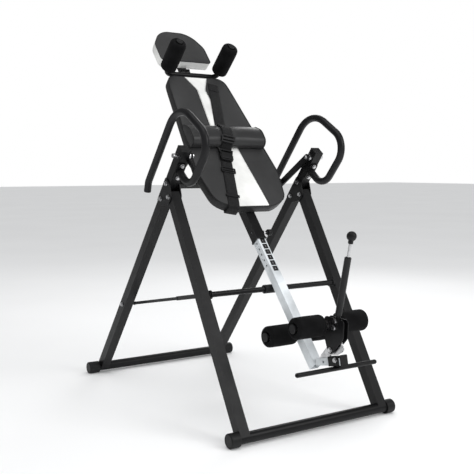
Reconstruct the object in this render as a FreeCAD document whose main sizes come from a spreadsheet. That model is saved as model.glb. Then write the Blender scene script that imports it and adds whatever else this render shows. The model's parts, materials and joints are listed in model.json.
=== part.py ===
import FreeCAD, Part
import Sketcher
import math
import os
from FreeCAD import Placement, Rotation, Vector

# Inversion table: an A-frame stand, and a bed that swings between its two posts.
# Row frame: +Z up, the floor at Z = 0, X across the width, -Y is the foot end of the bed.
# Three working frames carry the sloping pieces: the rear leg's, the front leg's and the bed's.

SIZES = [
    # stand
    ("front_bar_y", -482.8, "axis of the front foot bar"),
    ("rear_bar_y", 649.8, "axis of the rear foot bar"),
    ("bar_axis_z", 24.2, "height of both foot bars' axes, above the caps' flat soles"),
    ("bar_radius", 19.0, "foot bar, outer"),
    ("bar_wall", 1.5, "wall of the round tubes"),
    ("front_bar_long", 708.0, "front foot bar without its caps"),
    ("rear_bar_long", 736.0, "rear foot bar without its caps"),
    ("cap_radius", 25.0, "foot cap, outer"),
    ("rear_cap_long", 48.0, "rear foot cap"),
    ("front_cap_long", 38.0, "front foot cap"),
    ("cap_end", 6.0, "foot cap's closed end"),
    ("leg_x", 302.3, "leg centre lines, left and right of the middle"),
    ("leg_side", 38.0, "square leg tube"),
    ("leg_wall", 2.0, "wall of the leg tube"),
    ("rear_lean", 38.47, "rear leg, from vertical"),
    ("rear_leg_long", 1211.0, "rear leg and post, from the foot bar's axis to the top"),
    ("front_lean", 30.81, "front leg, from vertical"),
    ("hinge_up", 902.0, "front leg, from the foot bar's axis to its hinge bolt"),
    ("leg_end", 13.0, "front leg beyond its hinge bolt"),
    ("hinge_along", 1023.7, "hinge bolt, along the rear leg"),
    ("hinge_off", 43.0, "hinge bolt, in front of the rear leg's centre line"),
    ("pivot_along", 1181.0, "bed pivot, along the rear leg"),
    ("plate_thick", 3.0, "steel plates"),
    ("plate_gap", 0.4, "clearance beside a plate"),
    ("bolt_radius", 4.0, "M8 bolts"),
    ("bolt_clear", 0.3, "clearance round a bolt that something turns on"),
    ("head_radius", 7.0, "bolt head, across its corners"),
    ("head_high", 5.0, "bolt head"),
    # handles
    ("handle_along", 1125.0, "handle's root, along the rear leg"),
    ("handle_radius", 14.0, "handle tube"),
    ("flange_long", 74.0, "handle's mounting flange"),
    ("flange_pitch", 54.0, "between the flange's two bolts"),
    # crossbar and stays
    ("crossbar_up", 503.3, "crossbar, along the front leg"),
    ("crossbar_off", 12.0, "crossbar, in front of the front leg's centre line"),
    ("crossbar_radius", 10.0, "crossbar"),
    ("bumper_radius", 16.0, "rubber sleeve on the crossbar"),
    ("bumper_long", 94.0, "rubber sleeve on the crossbar"),
    ("stay_pin_up", 404.0, "rear stay's pin, along the rear leg"),
    ("stay_split", 0.62, "share of the stay's span that its rear link takes"),
    ("rear_stay_deep", 12.0, "rear link of the stay"),
    ("front_stay_deep", 16.0, "front link of the stay"),
    ("stay_thick", 4.0, "both links of the stay"),
    ("rear_stay_x", 269.0, "middle of the rear link"),
    ("front_stay_x", 275.5, "middle of the front link"),
    # bed
    ("bed_lean", 40.2, "bed, from vertical"),
    ("arm_reach", 165.0, "from the bed's tube axis up to the pivot"),
    ("arm_x", 267.0, "middle of the pivot arms"),
    ("arm_thick", 8.0, "pivot arm"),
    ("arm_wide", 26.0, "pivot arm"),
    ("pivot_radius", 6.0, "pivot pin"),
    ("sleeve_side", 40.0, "bed's square tube"),
    ("sleeve_wall", 2.0, "bed's square tube"),
    ("sleeve_top", 615.0, "bed's tube, above the pivot arms"),
    ("sleeve_foot", 273.0, "bed's tube, below the pivot arms"),
    ("cross_up", 30.0, "cross tube, up the bed from square below the pivot"),
    ("cross_side", 25.0, "cross tube that joins the arms"),
    ("board_thick", 12.0, "plywood boards"),
    ("pad_thick", 30.0, "cushion on the backboard"),
    ("pad_top", 532.0, "top edge of the backrest"),
    ("pad_foot", 158.0, "bottom edge of the backrest, below the arms"),
    ("pad_top_half", 144.0, "half the backrest's width near its top"),
    ("pad_low_half", 188.0, "half the backrest's greatest width"),
    ("head_low", 634.0, "lower edge of the head pillow"),
    ("head_high_edge", 816.0, "upper edge of the head pillow"),
    ("head_half", 121.0, "half the head pillow's width"),
    ("head_board_thick", 10.0, "board under the head pillow"),
    ("head_pad_thick", 32.0, "head pillow's cushion"),
    ("head_tube_side", 25.0, "tube that carries the head pillow"),
    ("lumbar_along", 182.0, "middle of the lumbar pillow"),
    ("lumbar_long", 362.0, "lumbar pillow"),
    ("lumbar_wide", 112.0, "lumbar pillow"),
    ("lumbar_high", 52.0, "lumbar pillow, above the backrest"),
    ("strap_wide", 48.0, "webbing"),
    ("strap_thick", 2.0, "webbing"),
    ("strap_turn", 14.0, "slant of the webbing across the backrest"),
    ("strap_top", 506.0, "webbing's sewn end, along its own slanted line"),
    ("shoulder_along", 562.0, "shoulder bar"),
    ("shoulder_high", 41.4, "shoulder bar, above the tube's axis"),
    ("shoulder_radius", 11.0, "shoulder bar"),
    ("shoulder_half", 124.0, "shoulder pads, left and right of the middle"),
    ("shoulder_reach", 168.0, "shoulder bar's arms"),
    ("shoulder_tilt", 3.0, "shoulder bar's arms lean to the head by this much"),
    ("shoulder_pad_radius", 34.5, "shoulder pad"),
    ("shoulder_pad_long", 141.0, "shoulder pad"),
    # leg slide
    ("slide_side", 35.0, "white adjusting tube"),
    ("slide_wall", 2.0, "white adjusting tube"),
    ("slide_top", 20.0, "upper end of the adjusting tube, below the arms"),
    ("slide_foot", 813.0, "lower end of the adjusting tube, below the arms"),
    ("pin_along", 240.0, "height pin, below the arms"),
    ("pin_radius", 4.0, "height pin"),
    ("pin_travel", 12.0, "height pin, from locked to drawn out"),
    ("hole_pitch", 25.0, "between the height holes"),
    ("hole_count", 13, "height holes"),
    ("knob_radius", 12.0, "height pin's knob"),
    # ankle unit, from the foot of the adjusting tube
    ("rear_axle_along", 677.0, "rear ankle rollers, below the arms"),
    ("axle_radius", 9.5, "roller axles"),
    ("roller_radius", 37.5, "ankle rollers"),
    ("roller_long", 116.0, "ankle rollers"),
    ("roller_in", 34.0, "rollers' inner ends, from the middle"),
    ("lever_pin_along", 811.0, "lever's pivot bolt, below the arms"),
    ("lever_pin_out", 115.0, "lever's pivot bolt, in front of the tube's axis"),
    ("lever_turn", 53.0, "lever, from the bed's line"),
    ("lever_foot", 70.0, "lower end of the lever's tube, up the lever from its pivot bolt"),
    ("front_axle_up", 77.0, "front ankle rollers, up the lever from its pivot bolt"),
    ("front_axle_back", 38.0, "front ankle rollers, behind the lever's axis"),
    ("lever_radius", 8.0, "lever's tube"),
    ("grip_radius", 11.5, "rubber grip on the lever"),
    ("grip_top", 256.0, "top of the rubber grip, up the lever from its tube's foot"),
    ("rod_radius", 5.0, "release rod"),
    ("ball_radius", 16.5, "ball knob"),
    ("ball_along", 328.0, "ball knob's centre, up the lever from its tube's foot"),
    ("tooth_radius", 58.0, "tips of the ratchet's teeth"),
    ("tooth_deep", 4.0, "ratchet's teeth"),
    ("stub_turn", 28.6, "stub, turned to the foot end from square to the tube"),
    ("stub_side", 25.0, "stub for the foot rest"),
    ("stub_long", 158.0, "stub, from the adjusting tube's axis"),
    ("rest_along", 122.0, "foot rest, along the stub"),
    ("clamp_along", 123.5, "middle of the foot rest's clamp, along the stub"),
    ("clamp_long", 54.0, "foot rest's clamp, along the stub"),
    ("rest_radius", 8.0, "foot rest bar"),
    ("rest_long", 350.0, "foot rest bar"),
]

doc = FreeCAD.newDocument("inversion_table")
sheet = doc.addObject("Spreadsheet::Sheet", "Sizes")
for row, (alias, value, meaning) in enumerate(SIZES, start=1):
    sheet.set("A%d" % row, meaning)
    sheet.set("B%d" % row, str(value))
    sheet.setAlias("B%d" % row, alias)
doc.recompute()

X_AXIS = Vector(1, 0, 0)
Y_AXIS = Vector(0, 1, 0)
Z_AXIS = Vector(0, 0, 1)
ALONG_X = Rotation(Y_AXIS, 90)
SIDES = (("left", -1), ("right", 1))
parts = {}


def size(alias):
    return float(sheet.get(alias))


# ---------------------------------------------------------------- frames

def rear_leg_frame(x=0.0):
    """Z runs up the rear leg from its foot bar, and -Y is square to it, to the front."""
    base = Vector(x, size("rear_bar_y"), size("bar_axis_z"))
    return Placement(base, Rotation(X_AXIS, size("rear_lean")))


def front_leg_frame(x=0.0):
    """Z runs up the front leg from its foot bar, and -Y is square to it, to the front."""
    base = Vector(x, size("front_bar_y"), size("bar_axis_z"))
    return Placement(base, Rotation(X_AXIS, -size("front_lean")))


def bed_frame():
    """Y runs up the bed to the head, Z is square to it, to the front; the pivot is above the origin."""
    pivot = rear_leg_frame().multVec(Vector(0, 0, size("pivot_along")))
    turn = Rotation(X_AXIS, 90 - size("bed_lean"))
    return Placement(pivot - turn.multVec(Vector(0, 0, size("arm_reach"))), turn)


def lever_frame():
    """Z runs up the lever from its pivot bolt, and Y is square to it, towards the bed."""
    base = Vector(0, -size("lever_pin_along"), size("lever_pin_out"))
    return bed_frame().multiply(Placement(base, Rotation(X_AXIS, size("lever_turn") - 90)))


def stub_frame():
    """Z runs forward along the stub from the adjusting tube's axis, and Y is square to it, to the head."""
    base = Vector(0, -size("slide_foot") + 20, 0)
    return bed_frame().multiply(Placement(base, Rotation(X_AXIS, size("stub_turn"))))


def spot(frame, x=0.0, y=0.0, z=0.0, turn=None):
    """A place in a frame, turned on the spot."""
    return frame.multiply(Placement(Vector(x, y, z), turn or Rotation()))


# ---------------------------------------------------------------- sketches and features

def keep(label, item, placement):
    """Names a finished sub-part, puts it in its place and lists it for export."""
    item.Label = label
    item.Placement = placement
    parts[label] = item
    return item


def gather(label, labels):
    """Makes one sub-part of identical pieces that stay separate solids."""
    item = doc.addObject("Part::Compound", label)
    item.Links = [parts.pop(name) for name in labels]
    for piece in item.Links:
        piece.Label = piece.Label + "_piece"
    return keep(label, item, Placement())


def both(stem):
    """Joins the left and right pieces of a pair into one sub-part."""
    return gather(stem + "s", [stem + "_left", stem + "_right"])


def new_sketch(body, role, name):
    sketch = body.newObject("Sketcher::SketchObject", name)
    plane = [p for p in body.Origin.OriginFeatures if p.Role == role][0]
    sketch.AttachmentSupport = [(plane, "")]
    sketch.MapMode = "FlatFace"
    return sketch


def draw_rectangle(sketch, wide, high):
    """A rectangle centred on the origin. Both sizes are expressions."""
    corners = [Vector(-5, -5, 0), Vector(5, -5, 0), Vector(5, 5, 0), Vector(-5, 5, 0)]
    first = sketch.GeometryCount
    for n in range(4):
        sketch.addGeometry(Part.LineSegment(corners[n], corners[(n + 1) % 4]), False)
    for n in range(4):
        sketch.addConstraint(Sketcher.Constraint("Coincident", first + n, 2, first + (n + 1) % 4, 1))
    for n, kind in enumerate(("Horizontal", "Vertical", "Horizontal", "Vertical")):
        sketch.addConstraint(Sketcher.Constraint(kind, first + n))
    sketch.addConstraint(Sketcher.Constraint("Symmetric", first, 1, first + 1, 2, -1, 1))
    across = sketch.addConstraint(Sketcher.Constraint("DistanceX", first, 1, first, 2, 10.0))
    up = sketch.addConstraint(Sketcher.Constraint("DistanceY", first + 1, 1, first + 1, 2, 10.0))
    sketch.setExpression("Constraints[%d]" % across, wide)
    sketch.setExpression("Constraints[%d]" % up, high)


def draw_circle(sketch, radius, centre=(0.0, 0.0)):
    """A circle whose radius is an expression."""
    number = sketch.addGeometry(Part.Circle(Vector(centre[0], centre[1], 0), Z_AXIS, 3.0), False)
    if centre == (0.0, 0.0):
        sketch.addConstraint(Sketcher.Constraint("Coincident", number, 3, -1, 1))
    else:
        sketch.addConstraint(Sketcher.Constraint("Block", number))
    if centre == (0.0, 0.0):
        radius_rule = sketch.addConstraint(Sketcher.Constraint("Radius", number, 3.0))
        sketch.setExpression("Constraints[%d]" % radius_rule, radius)


def rounded(corners, closed=True):
    """Lines and arcs through corners given as (x, y, radius)."""
    count = len(corners)
    points = [Vector(c[0], c[1], 0) for c in corners]
    cuts = []
    for n, corner in enumerate(corners):
        radius = corner[2] if len(corner) > 2 else 0.0
        at_end = not closed and n in (0, count - 1)
        if at_end or radius <= 0:
            cuts.append((points[n], None, points[n]))
            continue
        back = (points[n - 1] - points[n]).normalize()
        ahead = (points[(n + 1) % count] - points[n]).normalize()
        half = back.getAngle(ahead) / 2
        run = radius / math.tan(half)
        middle = (back + ahead).normalize() * (radius / math.sin(half) - radius)
        cuts.append((points[n] + back * run, points[n] + middle, points[n] + ahead * run))
    edges = []
    for n in range(count):
        start, middle, end = cuts[n]
        if middle is not None:
            edges.append(Part.Arc(start, middle, end))
        if closed or n < count - 1:
            following = cuts[(n + 1) % count][0]
            if end.distanceToPoint(following) > 1e-6:
                edges.append(Part.LineSegment(end, following))
    return edges


def pad(body, sketch, length, both_ways=False, name="Pad"):
    feature = body.newObject("PartDesign::Pad", name)
    feature.Profile = sketch
    feature.setExpression("Length", length)
    if both_ways:
        feature.SideType = "Symmetric"
    return feature


def pocket(body, sketch, length, name="Pocket"):
    """A pocket cut both ways from its sketch."""
    feature = body.newObject("PartDesign::Pocket", name)
    feature.Profile = sketch
    feature.SideType = "Symmetric"
    feature.setExpression("Length", length)
    return feature


def square_tube(label, side, wall, length, placement, both_ways=False, saddle=None):
    """A square tube along Z. A saddle radius cuts its lower end to fit a round bar."""
    body = doc.addObject("PartDesign::Body", label)
    profile = new_sketch(body, "XY_Plane", "Section")
    draw_rectangle(profile, "Sizes." + side, "Sizes." + side)
    inner = "Sizes.%s - 2 * Sizes.%s" % (side, wall)
    draw_rectangle(profile, inner, inner)
    pad(body, profile, length, both_ways)
    if saddle:
        notch = new_sketch(body, "YZ_Plane", "Notch")
        draw_circle(notch, saddle)
        pocket(body, notch, "2 * Sizes." + side)
    return keep(label, body, placement)


def round_tube(label, radius, wall, length, placement):
    """A round tube, centred, along Z."""
    body = doc.addObject("PartDesign::Body", label)
    profile = new_sketch(body, "XY_Plane", "Section")
    draw_circle(profile, radius)
    draw_circle(profile, "%s - (%s)" % (radius, wall))
    pad(body, profile, length, both_ways=True)
    return keep(label, body, placement)


def plate(label, corners, thickness, placement, holes=()):
    """A flat plate with rounded corners, drawn in its own YZ plane, with holes (y, z, radius)."""
    body = doc.addObject("PartDesign::Body", label)
    outline = new_sketch(body, "YZ_Plane", "Outline")
    for edge in rounded(corners):
        outline.addGeometry(edge, False)
    for y, z, radius in holes:
        outline.addGeometry(Part.Circle(Vector(y, z, 0), Z_AXIS, radius), False)
    pad(body, outline, thickness, both_ways=True)
    return keep(label, body, placement)


def bent_tube(label, radius, wall, corners, placement):
    """A tube swept along a path of straight runs and bends in its own XZ plane, from the origin up Z."""
    body = doc.addObject("PartDesign::Body", label)
    path = new_sketch(body, "XZ_Plane", "Path")
    for edge in rounded(corners, closed=False):
        path.addGeometry(edge, False)
    ring = new_sketch(body, "XY_Plane", "Section")
    draw_circle(ring, radius)
    draw_circle(ring, "%s - %s" % (radius, wall))
    pipe = body.newObject("PartDesign::AdditivePipe", "Sweep")
    pipe.Profile = ring
    pipe.Spine = (path, [])
    return keep(label, body, placement)


def turned(label, outline, placement):
    """A round piece: an outline (radius, height) with rounded corners, turned about Z."""
    body = doc.addObject("PartDesign::Body", label)
    half = new_sketch(body, "XZ_Plane", "Half")
    for edge in rounded(outline):
        half.addGeometry(edge, False)
    turn = body.newObject("PartDesign::Revolution", "Turn")
    turn.Profile = half
    turn.ReferenceAxis = (half, ["V_Axis"])
    turn.Angle = 360
    return keep(label, body, placement)


def group(label, shapes):
    """Separate solids, already in their places, kept as one sub-part."""
    item = doc.addObject("Part::Feature", label)
    item.Shape = Part.makeCompound(shapes)
    return keep(label, item, Placement())


def placed(shape, placement):
    shape.Placement = placement.multiply(shape.Placement)
    return shape


def hexagon(radius, high, placement):
    """A six-sided bolt head or nut that stands on the XY plane."""
    ring = [Vector(radius * math.cos(math.radians(60 * n)), radius * math.sin(math.radians(60 * n)), 0)
            for n in range(7)]
    head = Part.Face(Part.makePolygon(ring)).extrude(Vector(0, 0, high))
    return placed(head, placement)


def bolt_head(placement):
    """A hexagon head on its washer."""
    washer_high = 1.5
    washer = Part.makeCylinder(size("head_radius") + 1.5, washer_high)
    raised = Placement(Vector(0, 0, washer_high), Rotation())
    head = hexagon(size("head_radius"), size("head_high"), raised)
    return placed(washer.fuse(head), placement)


def through_bolt(placement, grip, radius):
    """A bolt along Z with its head below the origin and its nut above the grip length."""
    flipped = Placement(Vector(0, 0, 0), Rotation(X_AXIS, 180))
    top = Placement(Vector(0, 0, grip), Rotation())
    shank = Part.makeCylinder(radius, grip)
    return placed(shank.fuse([bolt_head(flipped), bolt_head(top)]), placement)


# ---------------------------------------------------------------- stand, rear half

def foot_bar(label, length, bar_y):
    place = Placement(Vector(0, size(bar_y), size("bar_axis_z")), ALONG_X)
    round_tube(label, "Sizes.bar_radius", "Sizes.bar_wall", "Sizes." + length, place)


def foot_cap(label, side, length, bar_y, cap_long):
    """A moulded cap on a foot bar's end, with a flat underside that stands on the floor."""
    inner = size("bar_radius") + 0.02
    outer = size("cap_radius")
    end = size("cap_end")
    depth = size(cap_long)
    outline = [(inner, 0), (outer, 0, 1.5), (outer, depth, 4), (0, depth), (0, depth - end), (inner, depth - end)]
    # The mouth faces the middle of the bar, and the cap's own -Y is down.
    facing = Rotation(Vector(0, side, 0), Vector(0, 0, 1), Vector(side, 0, 0), "ZYX")
    start = size(length) / 2 - (depth - end)
    place = Placement(Vector(side * start, size(bar_y), size("bar_axis_z")), facing)
    body = turned(label, outline, place)
    sole = new_sketch(body, "YZ_Plane", "Sole")
    low = size("bar_axis_z")
    for line in rounded([(-2 * low, -low), (-2 * low, 2 * depth), (-low, 2 * depth), (-low, -low)]):
        sole.addGeometry(line, False)
    pocket(body, sole, "4 * Sizes.cap_radius", "Flat")


def cheek_bolts():
    """Places, along the rear leg, of the two bolts that clamp the cheeks to it."""
    return [size("hinge_along") - 45, size("hinge_along") + 28]


def rear_leg(name, side):
    """One square tube makes the rear leg and, above the hinge, the post."""
    frame = rear_leg_frame(side * size("leg_x"))
    label = "rear_leg_" + name
    square_tube(label, "leg_side", "leg_wall", "Sizes.rear_leg_long", frame, saddle="Sizes.bar_radius")
    body = parts[label]
    bores = new_sketch(body, "YZ_Plane", "Bores")
    for along in [size("pivot_along"), size("stay_pin_up")] + cheek_bolts():
        radius = size("pivot_radius") if along == size("pivot_along") else size("bolt_radius")
        bores.addGeometry(Part.Circle(Vector(0, along, 0), Z_AXIS, radius + 0.05), False)
    pocket(body, bores, "2 * Sizes.leg_side", "PinBores")


def post_cap(name, side):
    """A plastic cap that closes the top of the post."""
    body = doc.addObject("PartDesign::Body", "post_cap_" + name)
    top = new_sketch(body, "XY_Plane", "Top")
    draw_rectangle(top, "Sizes.leg_side", "Sizes.leg_side")
    pad(body, top, "Sizes.plate_thick", name="Lid")
    plug = new_sketch(body, "XY_Plane", "Plug")
    inner = "Sizes.leg_side - 2 * Sizes.leg_wall - 0.6"
    draw_rectangle(plug, inner, inner)
    lower = pad(body, plug, "4 * Sizes.plate_thick", name="Insert")
    lower.Reversed = True
    place = spot(rear_leg_frame(side * size("leg_x")), z=size("rear_leg_long"))
    keep("post_cap_" + name, body, place)


def apex_plates(name, side):
    """Two steel cheeks on the post that hold the front leg's hinge bolt between them."""
    half = size("leg_side") / 2
    low = size("hinge_along") - 66
    high = size("hinge_along") + 44
    nose = -(size("hinge_off") + 17)
    corners = [(half, low, 8), (half, high, 6), (-half, high, 10), (nose, size("hinge_along") + 14, 12),
               (nose, size("hinge_along") - 20, 12), (-half + 4, low, 8)]
    holes = [(-size("hinge_off"), size("hinge_along"), size("bolt_radius") + 0.05)]
    holes += [(0.0, size("hinge_along") + step, size("bolt_radius") + 0.05) for step in (-45, 28)]
    offset = half + size("plate_gap") + size("plate_thick") / 2
    for way in (-1, 1):
        place = spot(rear_leg_frame(side * size("leg_x")), x=way * offset)
        label = "apex_plate_%s_%s" % (name, "outer" if way == side else "inner")
        plate(label, corners, "Sizes.plate_thick", place, holes)


def apex_bolts():
    """Bolts that clamp the cheeks to the posts, and the two hinge bolts."""
    grip = size("leg_side") + 2 * (size("plate_gap") + size("plate_thick"))
    shapes = []
    for _, side in SIDES:
        frame = rear_leg_frame(side * size("leg_x"))
        spots = [(0.0, along) for along in cheek_bolts()]
        spots.append((-size("hinge_off"), size("hinge_along")))
        for y, z in spots:
            place = spot(frame, x=-grip / 2, y=y, z=z, turn=ALONG_X)
            shapes.append(through_bolt(place, grip, size("bolt_radius")))
    group("apex_bolts", shapes)


def handle_path():
    """The handle's corners (up the post, out from it) and bend radii: out, up, over and down behind."""
    return [(0, 0), (0, 97, 61), (221, 107, 74), (191, -162, 118), (-187, -173, 30), (-221, -158)]


def handle(name, side):
    """A bent tube whose root stands square on the post's front face, with its flange and end plug."""
    frame = rear_leg_frame(side * size("leg_x"))
    face = size("leg_side") / 2
    flange_thick = size("plate_thick") + 1
    root = spot(frame, y=-face - flange_thick, z=size("handle_along"))
    # The tube's own X runs up the post and its own Z straight out of the post's front.
    outward = Rotation(Vector(0, 0, 1), Vector(-1, 0, 0), Vector(0, -1, 0), "XZY")
    place = root.multiply(Placement(Vector(), outward))
    bent_tube("handle_" + name, "Sizes.handle_radius", "Sizes.bar_wall", handle_path(), place)
    half_wide = size("leg_side") / 2 - 1
    half_long = size("flange_long") / 2
    corners = [(-half_wide, -half_long, 9), (half_wide, -half_long, 9), (half_wide, half_long, 9),
               (-half_wide, half_long, 9)]
    holes = [(0.0, way * size("flange_pitch") / 2, size("bolt_radius") + 0.05) for way in (-1, 1)]
    flange_place = spot(frame, y=-face - flange_thick / 2, z=size("handle_along"), turn=Rotation(Z_AXIS, 90))
    plate("handle_flange_" + name, corners, "Sizes.plate_thick + 1", flange_place, holes)
    start, end = handle_path()[-2], handle_path()[-1]
    heading = math.degrees(math.atan2(end[0] - start[0], end[1] - start[1]))
    tip = place.multiply(Placement(Vector(end[0], 0, end[1]), Rotation(Y_AXIS, heading)))
    wall = size("bar_wall")
    outer = size("handle_radius")
    outline = [(0, -12), (outer - wall - 0.3, -12, 1), (outer - wall - 0.3, 0), (outer, 0), (outer, 4, 3), (0, 4)]
    turned("handle_plug_" + name, outline, tip)


def handle_bolts():
    shapes = []
    for _, side in SIDES:
        for way in (-1, 1):
            along = size("handle_along") + way * size("flange_pitch") / 2
            front = -size("leg_side") / 2 - size("plate_thick") - 1
            place = spot(rear_leg_frame(side * size("leg_x")), y=front, z=along, turn=Rotation(X_AXIS, 90))
            stem = Part.makeCylinder(size("bolt_radius"), size("plate_thick") + 1)
            stem.Placement = Placement(Vector(0, 0, -size("plate_thick") - 1), Rotation())
            shapes.append(placed(bolt_head(Placement()).fuse(stem), place))
    group("handle_bolts", shapes)


def handle_brace():
    """On the left only: a flat strap from the top of the post that drops to the handle's lower bend."""
    high = size("pivot_along") - 12
    low = size("handle_along") - 14
    out = -size("leg_side") / 2
    corners = [(out, high), (out, high + 18), (out - 78, high + 18, 14), (out - 78, low), (out - 60, low),
               (out - 60, high, 5)]
    place = rear_leg_frame(-size("leg_x") + 17)
    plate("handle_brace", corners, "Sizes.plate_thick + 2", place)


def pivot_pins(name, side):
    """The bolt that the bed swings on, and the spacer between the post and the arm."""
    frame = rear_leg_frame(side * size("leg_x"))
    start = size("leg_side") / 2
    reach = size("leg_x") - size("arm_x") + size("arm_thick") / 2 + 1.0
    place = spot(frame, x=side * start, z=size("pivot_along"), turn=Rotation(Y_AXIS, -90 * side))
    grip = start + reach
    tail = Part.makeCylinder(8.0, 20.0, Vector(0, 0, -20.0))
    shape = through_bolt(place, grip, size("pivot_radius")).fuse(placed(tail, place))
    group("pivot_bolt_" + name, [shape])
    gap = size("leg_x") - start - size("arm_x") - size("arm_thick") / 2
    long = gap - 2 * size("plate_gap")
    centre = spot(frame, x=-side * (start + gap / 2), z=size("pivot_along"), turn=ALONG_X)
    bore = size("pivot_radius") + 0.05
    outline = [(bore, -long / 2), (13, -long / 2, 1), (13, long / 2, 1), (bore, long / 2)]
    turned("pivot_spacer_" + name, outline, centre)


def stay_line():
    """The stay's two ends and its joint, as points (y, z) in the row frame."""
    rear = rear_leg_frame().multVec(Vector(0, 0, size("stay_pin_up")))
    front = crossbar_centre()
    joint = rear + (front - rear) * size("stay_split")
    return rear, joint, front


def crossbar_centre():
    return front_leg_frame().multVec(Vector(0, -size("crossbar_off"), size("crossbar_up")))


def stay_link(label, start, end, deep, x, holes):
    """A flat link with round ends, from one point to another in the plane X = x."""
    run = end - start
    long = run.Length
    half = size(deep) / 2
    corners = [(-half, -half, half - 0.01), (half, -half, half - 0.01), (half, long + half, half - 0.01),
               (-half, long + half, half - 0.01)]
    lean = math.degrees(math.atan2(-run.y, run.z))
    place = Placement(Vector(x, start.y, start.z), Rotation(X_AXIS, lean))
    bored = [(0.0, along * long, radius) for along, radius in holes]
    plate(label, corners, "Sizes.stay_thick", place, bored)


def stays(name, side):
    rear, joint, front = stay_line()
    pin = size("bolt_radius") + size("bolt_clear")
    stay_link("rear_stay_" + name, rear, joint, "rear_stay_deep", side * size("rear_stay_x"), [(0, pin)])
    eye = size("crossbar_radius") + size("bolt_clear")
    label = "front_stay_" + name
    run = joint - front
    long = run.Length
    half = size("front_stay_deep") / 2
    ring = eye + 5
    corners = [(-ring, -ring, ring - 0.01), (ring, -ring, ring - 0.01), (ring, ring, 8), (half, ring + 16, 12),
               (half, long + 8, half - 1), (-half, long + 8, half - 1), (-half, ring + 16, 12), (-ring, ring, 8)]
    lean = math.degrees(math.atan2(-run.y, run.z))
    place = Placement(Vector(side * size("front_stay_x"), front.y, front.z), Rotation(X_AXIS, lean))
    plate(label, corners, "Sizes.stay_thick", place, [(0.0, 0.0, eye)])


def stay_pins():
    """Bolts through the rear legs that the rear links turn on."""
    rear = stay_line()[0]
    shapes = []
    outer = size("leg_side") / 2
    inner = size("leg_x") - size("rear_stay_x") + size("stay_thick") / 2 + 0.8
    for _, side in SIDES:
        place = Placement(Vector(side * (size("leg_x") + outer), rear.y, rear.z), Rotation(Y_AXIS, -90 * side))
        shapes.append(through_bolt(place, outer + inner, size("bolt_radius")))
    group("stay_pins", shapes)


def stay_rivets(label, x):
    """Rivet heads at the joint of the two links, on the faces that look away from each other."""
    joint = stay_line()[1]
    shapes = []
    for _, side in SIDES:
        way = 1 if x == "front_stay_x" else -1
        start = side * (size(x) + way * size("stay_thick") / 2)
        head = Part.makeCone(5.5, 3.5, 1.6)
        turn = Rotation(Y_AXIS, 90 * side * way)
        shapes.append(placed(head, Placement(Vector(start, joint.y, joint.z), turn)))
    group(label, shapes)


def rear_stand():
    foot_bar("rear_foot_bar", "rear_bar_long", "rear_bar_y")
    for name, side in SIDES:
        foot_cap("foot_cap_rear_" + name, side, "rear_bar_long", "rear_bar_y", "rear_cap_long")
        rear_leg(name, side)
        post_cap(name, side)
        apex_plates(name, side)
        handle(name, side)
        pivot_pins(name, side)
        stays(name, side)
    apex_bolts()
    handle_bolts()
    handle_brace()
    stay_pins()
    stay_rivets("rear_stay_rivets", "rear_stay_x")
    stay_rivets("front_stay_rivets", "front_stay_x")


# ---------------------------------------------------------------- stand, front half

def front_leg(name, side):
    """A square tube, bored for its hinge bolt and crossbar."""
    frame = front_leg_frame(side * size("leg_x"))
    label = "front_leg_" + name
    length = "Sizes.hinge_up + Sizes.leg_end"
    square_tube(label, "leg_side", "leg_wall", length, frame, saddle="Sizes.bar_radius")
    body = parts[label]
    bores = new_sketch(body, "YZ_Plane", "Bores")
    clear = size("bolt_radius") + size("bolt_clear")
    bores.addGeometry(Part.Circle(Vector(0, size("hinge_up"), 0), Z_AXIS, clear), False)
    pocket(body, bores, "2 * Sizes.leg_side", "HingeBore")


def crossbar():
    """A round bar between the front legs, with the rubber sleeve that the bed rests on."""
    centre = crossbar_centre()
    place = Placement(centre, ALONG_X)
    span = "2 * Sizes.leg_x - Sizes.leg_side"
    round_tube("crossbar", "Sizes.crossbar_radius", "Sizes.bar_wall", span, place)
    wall = "Sizes.bumper_radius - Sizes.crossbar_radius - 0.02"
    round_tube("crossbar_sleeve", "Sizes.bumper_radius", wall, "Sizes.bumper_long", place)


def front_stand():
    foot_bar("front_foot_bar", "front_bar_long", "front_bar_y")
    for name, side in SIDES:
        foot_cap("foot_cap_front_" + name, side, "front_bar_long", "front_bar_y", "front_cap_long")
        front_leg(name, side)
    crossbar()


# ---------------------------------------------------------------- bed

def backrest_outline(inset=0.0):
    """The backrest seen from the front: narrow at the head, widest at the hips, round below."""
    top = size("pad_top") - inset
    foot = -size("pad_foot") + inset
    narrow = size("pad_top_half") - inset
    wide = size("pad_low_half") - inset
    left = [(-narrow * 0.93, top, 42), (-narrow, top - 60, 200), (-wide, 12, 160), (-wide * 0.86, foot + 36, 60),
            (-wide * 0.5, foot, 120)]
    right = [(-x, y, r) for x, y, r in reversed(left)]
    return left + right


def flat_pad(label, corners, thickness, low):
    """A slab parallel to the bed's face, from a height above the tube's axis."""
    body = doc.addObject("PartDesign::Body", label)
    outline = new_sketch(body, "XY_Plane", "Outline")
    for line in rounded(corners):
        outline.addGeometry(line, False)
    pad(body, outline, thickness)
    return keep(label, body, spot(bed_frame(), z=low))


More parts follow.
